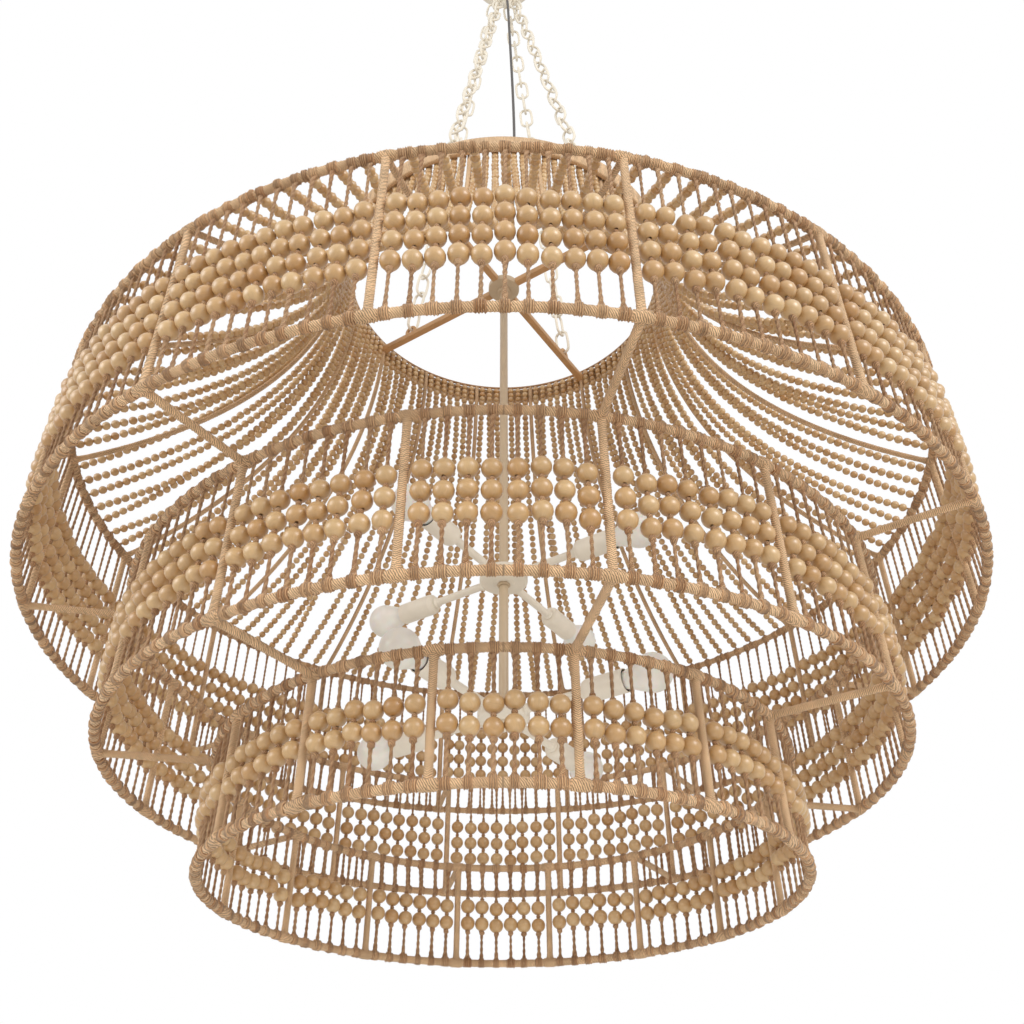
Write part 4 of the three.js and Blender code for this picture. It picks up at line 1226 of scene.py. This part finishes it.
def plain_bead(radius, sides=8, rings=5):
    """A small bead without its hole."""
    end = math.pi / 2 - 0.35
    turn = np.linspace(-end, end, rings)
    profile = np.stack([radius * np.cos(turn), radius * np.sin(turn)], axis=-1)
    return carried_round(profile, sides).reshape(-1, 3), tube_faces(1, rings, sides, False)


def upright_turns(axes, chance):
    """Turnings that lay each bead's bore along its string, at a random angle round it."""
    spin = chance.uniform(0, TAU, len(axes))
    side = unit(np.cross(axes, np.where(np.abs(axes[:, 2:]) < 0.9, UP, np.array([1.0, 0.0, 0.0]))))
    over = np.cross(axes, side)
    first = np.cos(spin)[:, None] * side + np.sin(spin)[:, None] * over
    return np.stack([first, np.cross(axes, first), axes], axis=-1)


def string_angles(strings):
    """The angles of a tier's strings, bay by bay."""
    pitch = BAY / (strings - 1 + 2 * END_SHARE)
    return (POSTS[:, None] + (END_SHARE + np.arange(strings))[None] * pitch).ravel()


def joints(shell, angles, radius, height, thickness, chance):
    """The crossed turns that bind a post, rib or spoke to a hoop."""
    count, stations, sides = len(angles), 13, 12
    share = np.linspace(-1, 1, stations)
    path = polar(angles[:, None] + share[None] * JOINT_REACH / radius, radius, height)
    body = thickness / 2 + JOINT_DEPTH * (1 - np.abs(share) ** 4) + 0.0005 * (np.arange(stations) % 2 * 2 - 1)
    reach = body[None, :, None] + chance.normal(0, UNEVEN, (count, stations, sides))
    shell.sweep(path, UP, circle(sides) * reach[..., None], np.full((count, stations), 0.85))


# Crown

RIM = 0.006                 # thickness of the cord that edges the band inside
LINING_GAP = 0.0076         # from the band's inner face to the middle of what hangs inside it
BAND_STEP = 0.0011          # along the band, between two of its strands
BAND_STRAND = 0.00025       # how far the band's strands stand out and sink in
SMALL_PITCH_SHARE = 0.985   # of a small bead's width, between the middles of two
LOOK_AHEAD = 0.004          # each way along a string, to find a small bead's direction
DOME_FALL_STRAY = 0.022     # how far the curve of one string strays up or down
DOME_BOW_STRAY = 0.009      # how far the middle of one string strays sideways


class CHANDELIER_OT_crown(Maker, bpy.types.Operator):
    """Adds the crown: its flat band, its ribs and the hanging strings of small beads"""
    bl_idname = "chandelier.crown"
    bl_label = "Crown"

    def make(self, hoops, beads, metal, view):
        self.band(hoops)
        self.ribs(hoops)
        self.strings(hoops, beads)

    def band(self, hoops):
        half, thick = hoops.band_height / 2, hoops.band_thickness / 2
        section = softened(rectangle(half, thick), 0.003, closed=True, steps=2)
        stations = even(TAU * hoops.band_radius, BAND_STEP)
        round_axis = full_turn(stations)
        chance = np.random.default_rng(11)
        strand = np.where(np.arange(stations) % 2, BAND_STRAND, -BAND_STRAND)
        strand = strand + chance.normal(0, 0.0001, stations)
        swollen = section[None] + np.sign(section)[None] * strand[:, None, None]
        shell = Shell()
        path = polar(round_axis, hoops.band_radius, -hoops.band_drop + half)
        shell.sweep(path, UP, swollen[None], 0.95, closed=True)
        rim = polar(round_axis, self.lining(hoops), -hoops.band_drop + hoops.band_height - RIM / 2)
        shell.sweep(rim, UP, circle(8, RIM / 2), 0.3, closed=True)
        shell.piece("crown_band", "band_twine", "crown_frame")

    def lining(self, hoops):
        """Axis to the middle of what hangs inside the band."""
        return hoops.band_radius - hoops.band_thickness / 2 - LINING_GAP

    def ribs(self, hoops):
        chance = np.random.default_rng(12)
        foot = polar(POSTS, hoops.radii[0], first_hoop(hoops))
        inside = self.lining(hoops)
        head = polar(POSTS, inside, -hoops.band_drop)
        upright = polar(POSTS, inside, -hoops.band_drop + hoops.band_height - RIM)
        shell = Shell()
        via = polar(POSTS, hoops.dome_waist, -hoops.band_drop - hoops.dome_fall)
        aside = polar(POSTS + TAU / 4, 1.0, 0.0)
        wrapped_rods(shell, foot, head, aside, hoops.rib_thickness, chance, (0.0025, 0.0), via=via)
        wrapped_rods(shell, head, upright, aside, hoops.rib_thickness, chance)
        joints(shell, POSTS, hoops.radii[0], first_hoop(hoops), hoops.thickness, chance)
        shell.piece("crown_ribs", "twine")

    def route(self, hoops, angle, chance):
        """A dome string, from the band's upper rim down its inner face and out to the first tier's hoop."""
        inside = self.lining(hoops)
        top, edge = -hoops.band_drop + hoops.band_height - RIM, -hoops.band_drop
        foot_height = edge - hoops.dome_height + hoops.thickness / 2 + 0.001
        fall = edge - hoops.dome_fall - chance.normal(0, DOME_FALL_STRAY)
        bow = chance.normal(0, DOME_BOW_STRAY)
        share = np.linspace(0, 1, 120)
        radius = bent(inside, hoops.dome_waist, hoops.radii[0], share)
        height = bent(edge - 0.002, fall, foot_height, share)
        turn = angle + bow * np.sin(math.pi * share) / radius
        upright = polar(angle, inside, np.linspace(top, edge, 12, endpoint=False))
        return np.vstack([upright, polar(turn, radius, height)])

    def strings(self, hoops, beads):
        chance = np.random.default_rng(13)
        angles = string_angles(hoops.dome_strings)
        pitch = beads.small_bead * SMALL_PITCH_SHARE
        centres, axes, feet, lowest, quarter = [], [], [], [], []
        for number, angle in enumerate(angles):
            line = self.route(hoops, angle, chance)
            run = travelled(line)
            last = run[-1] - (hoops.thickness + beads.small_bead) / 2
            places = np.linspace(pitch / 2, last, round(last / pitch))
            at = points_at(places, run, line)
            centres.append(at)
            ahead = points_at(places + LOOK_AHEAD, run, line)
            behind = points_at(places - LOOK_AHEAD, run, line)
            axes.append(unit(ahead - behind))
            quarter.append(np.full(len(at), number * 4 // len(angles)))
            feet.append(line[-1])
            lowest.append(at[-1])
        centres, axes, quarter = np.concatenate(centres), np.concatenate(axes), np.concatenate(quarter)
        template, faces = plain_bead(beads.small_bead / 2)
        for part in range(4):
            chosen = quarter == part
            count = int(chosen.sum())
            shell = Shell()
            tone = np.clip(chance.normal(0.55, 0.25, count), 0, 1)
            places = centres[chosen] + chance.normal(0, 0.0003, (count, 3))
            shell.scatter(template, faces, places, upright_turns(axes[chosen], chance),
                          chance.uniform(0.96, 1.04, count), bead_grain(template, count, chance), tone)
            shell.piece(f"dome_beads_{part + 1}", "bead_wood")
        shell = Shell()
        aside = polar(angles + TAU / 4, 1.0, 0.0)
        cords(shell, np.array(feet), np.array(lowest), aside, beads.cord * 0.8, (0.0016, 0.0), chance)
        shell.piece("dome_cords", "twine")
        shell = Shell()
        ties(shell, angles, hoops.radii[0], first_hoop(hoops), hoops.thickness, beads.tie * 0.7, 1, chance)
        shell.piece("dome_ties", "band_twine")


# Tiers

STRING_STRAY = 0.0004       # how far a whole string strays along its hoops
TOP_STRAY = 0.0006          # the same, of its upper end alone
FOOT_STRAY = 0.0008         # the same, of its lower end alone
PITCH_STRAY = 0.0006        # how far the gap between two beads strays
CORD_SINK = 0.7             # of half a bead's height, from its middle to the end of a cord inside it
UPPER_CONES = (0.0050, 0.0006)      # how much wider a cord gets at its hoop and at its bead
LOWER_CONES = (0.0044, 0.0012)
FIRST_KNOT = (0.0036, 0.0030)       # radius and half length of the knot over the beads
LAST_KNOT = (0.0047, 0.0046)
BETWEEN_KNOT = 0.0035       # radius of the knots between two beads


class CHANDELIER_OT_tiers(Maker, bpy.types.Operator):
    """Adds the three tiers: hoops, posts, spokes and bead strings"""
    bl_idname = "chandelier.tiers"
    bl_label = "Tiers"

    def make(self, hoops, beads, metal, view):
        top = first_hoop(hoops)
        for tier in range(3):
            bottom = top - hoops.heights[tier]
            radius, thickness = hoops.radii[tier], hoops.thickness
            inner = hoops.radii[tier + 1] if tier < 2 else None
            name = f"tier{tier + 1}"
            wrapped_hoop(name + "_upper_wrap", name + "_upper_hoop", radius, top, thickness, 20 + tier)
            wrapped_hoop(name + "_lower_wrap", name + "_lower_frame", radius, bottom, thickness, 30 + tier)
            self.posts(name, hoops, radius, top, bottom, inner, np.random.default_rng(40 + tier))
            self.strings(name, tier, hoops, beads, radius, top, bottom, np.random.default_rng(70 + tier))
            top = bottom

    def posts(self, name, hoops, radius, top, bottom, inner, chance):
        shell = Shell()
        flare = (0.002, 0.002)
        wrapped_rods(shell, polar(POSTS, radius, bottom), polar(POSTS, radius, top), polar(POSTS, 1.0, 0.0),
                     hoops.post_thickness, chance, flare)
        joints(shell, POSTS, radius, bottom, hoops.thickness, chance)
        if name != "tier1":
            joints(shell, POSTS, radius, top, hoops.thickness, chance)
        if inner:
            spokes = POSTS[::2]
            wrapped_rods(shell, polar(spokes, radius, bottom), polar(spokes, inner, bottom),
                         np.broadcast_to(UP, (len(spokes), 3)), hoops.post_thickness, chance, flare)
        shell.piece(name + "_posts", "twine")

    def strings(self, name, tier, hoops, beads, radius, top, bottom, chance):
        count, pitch, drop = hoops.beads[tier], hoops.bead_pitches[tier], hoops.bead_drops[tier]
        angles = string_angles(hoops.strings[tier])
        strings = len(angles)
        height = top - bottom
        stray = chance.normal(0, STRING_STRAY, strings)
        high = angles + (stray + chance.normal(0, TOP_STRAY, strings)) / radius
        low = angles + (stray + chance.normal(0, FOOT_STRAY, strings)) / radius
        swell = sum(math.sqrt(0.5 / k) * np.sin(k * angles * 3 + chance.uniform(0, TAU)) for k in (1, 2, 3))
        level_shift = beads.wander * (0.45 * swell + chance.normal(0, 0.35, strings))
        lean = chance.normal(0, 0.0008, strings)

        def at(down):
            """Points a distance below the upper hoop, one on each string."""
            share = down / height
            return polar(high + (low - high) * share, radius + lean * np.sin(math.pi * share), top - down)

        across = polar(angles, 1.0, 0.0)
        tops, feet = at(np.zeros(strings)), at(np.full(strings, height))
        along = unit(feet - tops)
        half = beads.bead / 2 * BEAD_HEIGHT_SHARE
        first = drop + level_shift
        gaps = pitch + chance.normal(0, PITCH_STRAY, (count, strings))
        downs = first[None] + np.concatenate([np.zeros((1, strings)), np.cumsum(gaps[1:], axis=0)])
        twine, tied = Shell(), Shell()
        cords(twine, tops, at(downs[0] - half * CORD_SINK), across, beads.cord, UPPER_CONES, chance)
        ties(tied, high, radius, top, hoops.thickness, beads.tie, -1, chance)
        twine.piece(name + "_upper_cords", "twine")
        twine = Shell()
        cords(twine, feet, at(downs[-1] + half * CORD_SINK), across, beads.cord, LOWER_CONES, chance)
        knots(twine, at(downs[0] - half - 0.0012), along, across, *FIRST_KNOT, chance)
        knots(twine, at(downs[-1] + half + 0.0022), along, across, *LAST_KNOT, chance)
        for i in range(count - 1):
            middle = (downs[i] + downs[i + 1]) / 2
            knots(twine, at(middle), along, across, BETWEEN_KNOT, pitch / 2 - half + 0.001, chance)
        ties(tied, low, radius, bottom, hoops.thickness, beads.tie, 1, chance)
        tied.piece(name + "_ties", "band_twine")
        twine.piece(name + "_lower_cords", "twine")
        self.beads(name, beads, np.concatenate([at(down) for down in downs]), along, count, chance)

    def beads(self, name, beads, centres, along, count, chance):
        """The beads of all strings of a tier, row by row, each a little out of line, in two pieces."""
        total, strings = len(centres), len(along)
        tilt = np.tile(along, (count, 1)) + chance.normal(0, 0.07, (total, 3))
        template, faces = bored_bead(beads.bead / 2, beads.bore / 2)
        tone = np.clip(chance.normal(0.6, 0.26, total), 0, 1)
        turned, grain = upright_turns(unit(tilt), chance), bead_grain(template, total, chance)
        measure = chance.uniform(0.975, 1.02, total)
        sides = np.tile(np.arange(strings) * 2 // strings, count)
        for part, label in enumerate(("right", "left")):
            chosen = sides == part
            wood = Shell()
            wood.scatter(template, faces, centres[chosen], turned[chosen], measure[chosen], grain[chosen],
                         tone[chosen])
            wood.piece(f"{name}_beads_{label}", "bead_wood", sharp=60)


class CHANDELIER_PT_panel(bpy.types.Panel):
    """Lists the pieces, with their sizes and colours"""
    bl_idname = "CHANDELIER_PT_panel"
    bl_label = "Beaded Chandelier"
    bl_space_type = "VIEW_3D"
    bl_region_type = "UI"
    bl_category = "Chandelier"

    def draw(self, context):
        for maker in MAKERS:
            self.layout.operator(maker.bl_idname)
        for name in GROUPS:
            box = self.layout.box()
            group = getattr(context.scene, name)
            box.label(text=name.replace("chandelier_", "").capitalize())
            for key in group.bl_rna.properties.keys():
                if key not in ("rna_type", "name"):
                    box.prop(group, key)


GROUPS = {
    "chandelier_view": CHANDELIER_PG_view,
    "chandelier_hoops": CHANDELIER_PG_hoops,
    "chandelier_beads": CHANDELIER_PG_beads,
    "chandelier_metal": CHANDELIER_PG_metal,
    "chandelier_colours": CHANDELIER_PG_colours,
}
MAKERS = (
    CHANDELIER_OT_stage, CHANDELIER_OT_cable, CHANDELIER_OT_canopy, CHANDELIER_OT_chains,
    CHANDELIER_OT_spider, CHANDELIER_OT_lamps, CHANDELIER_OT_crown, CHANDELIER_OT_tiers,
)


def register():
    for made in (*GROUPS.values(), *MAKERS, CHANDELIER_PT_panel):
        bpy.utils.register_class(made)
    for name, group in GROUPS.items():
        setattr(bpy.types.Scene, name, PointerProperty(type=group))


def unregister():
    for name in GROUPS:
        delattr(bpy.types.Scene, name)
    for made in (CHANDELIER_PT_panel, *reversed(MAKERS), *reversed(GROUPS.values())):
        bpy.utils.unregister_class(made)


def main():
    register()
    for maker in MAKERS:
        getattr(bpy.ops.chandelier, maker.bl_idname.split(".")[1])()


if __name__ == "__main__":
    main()
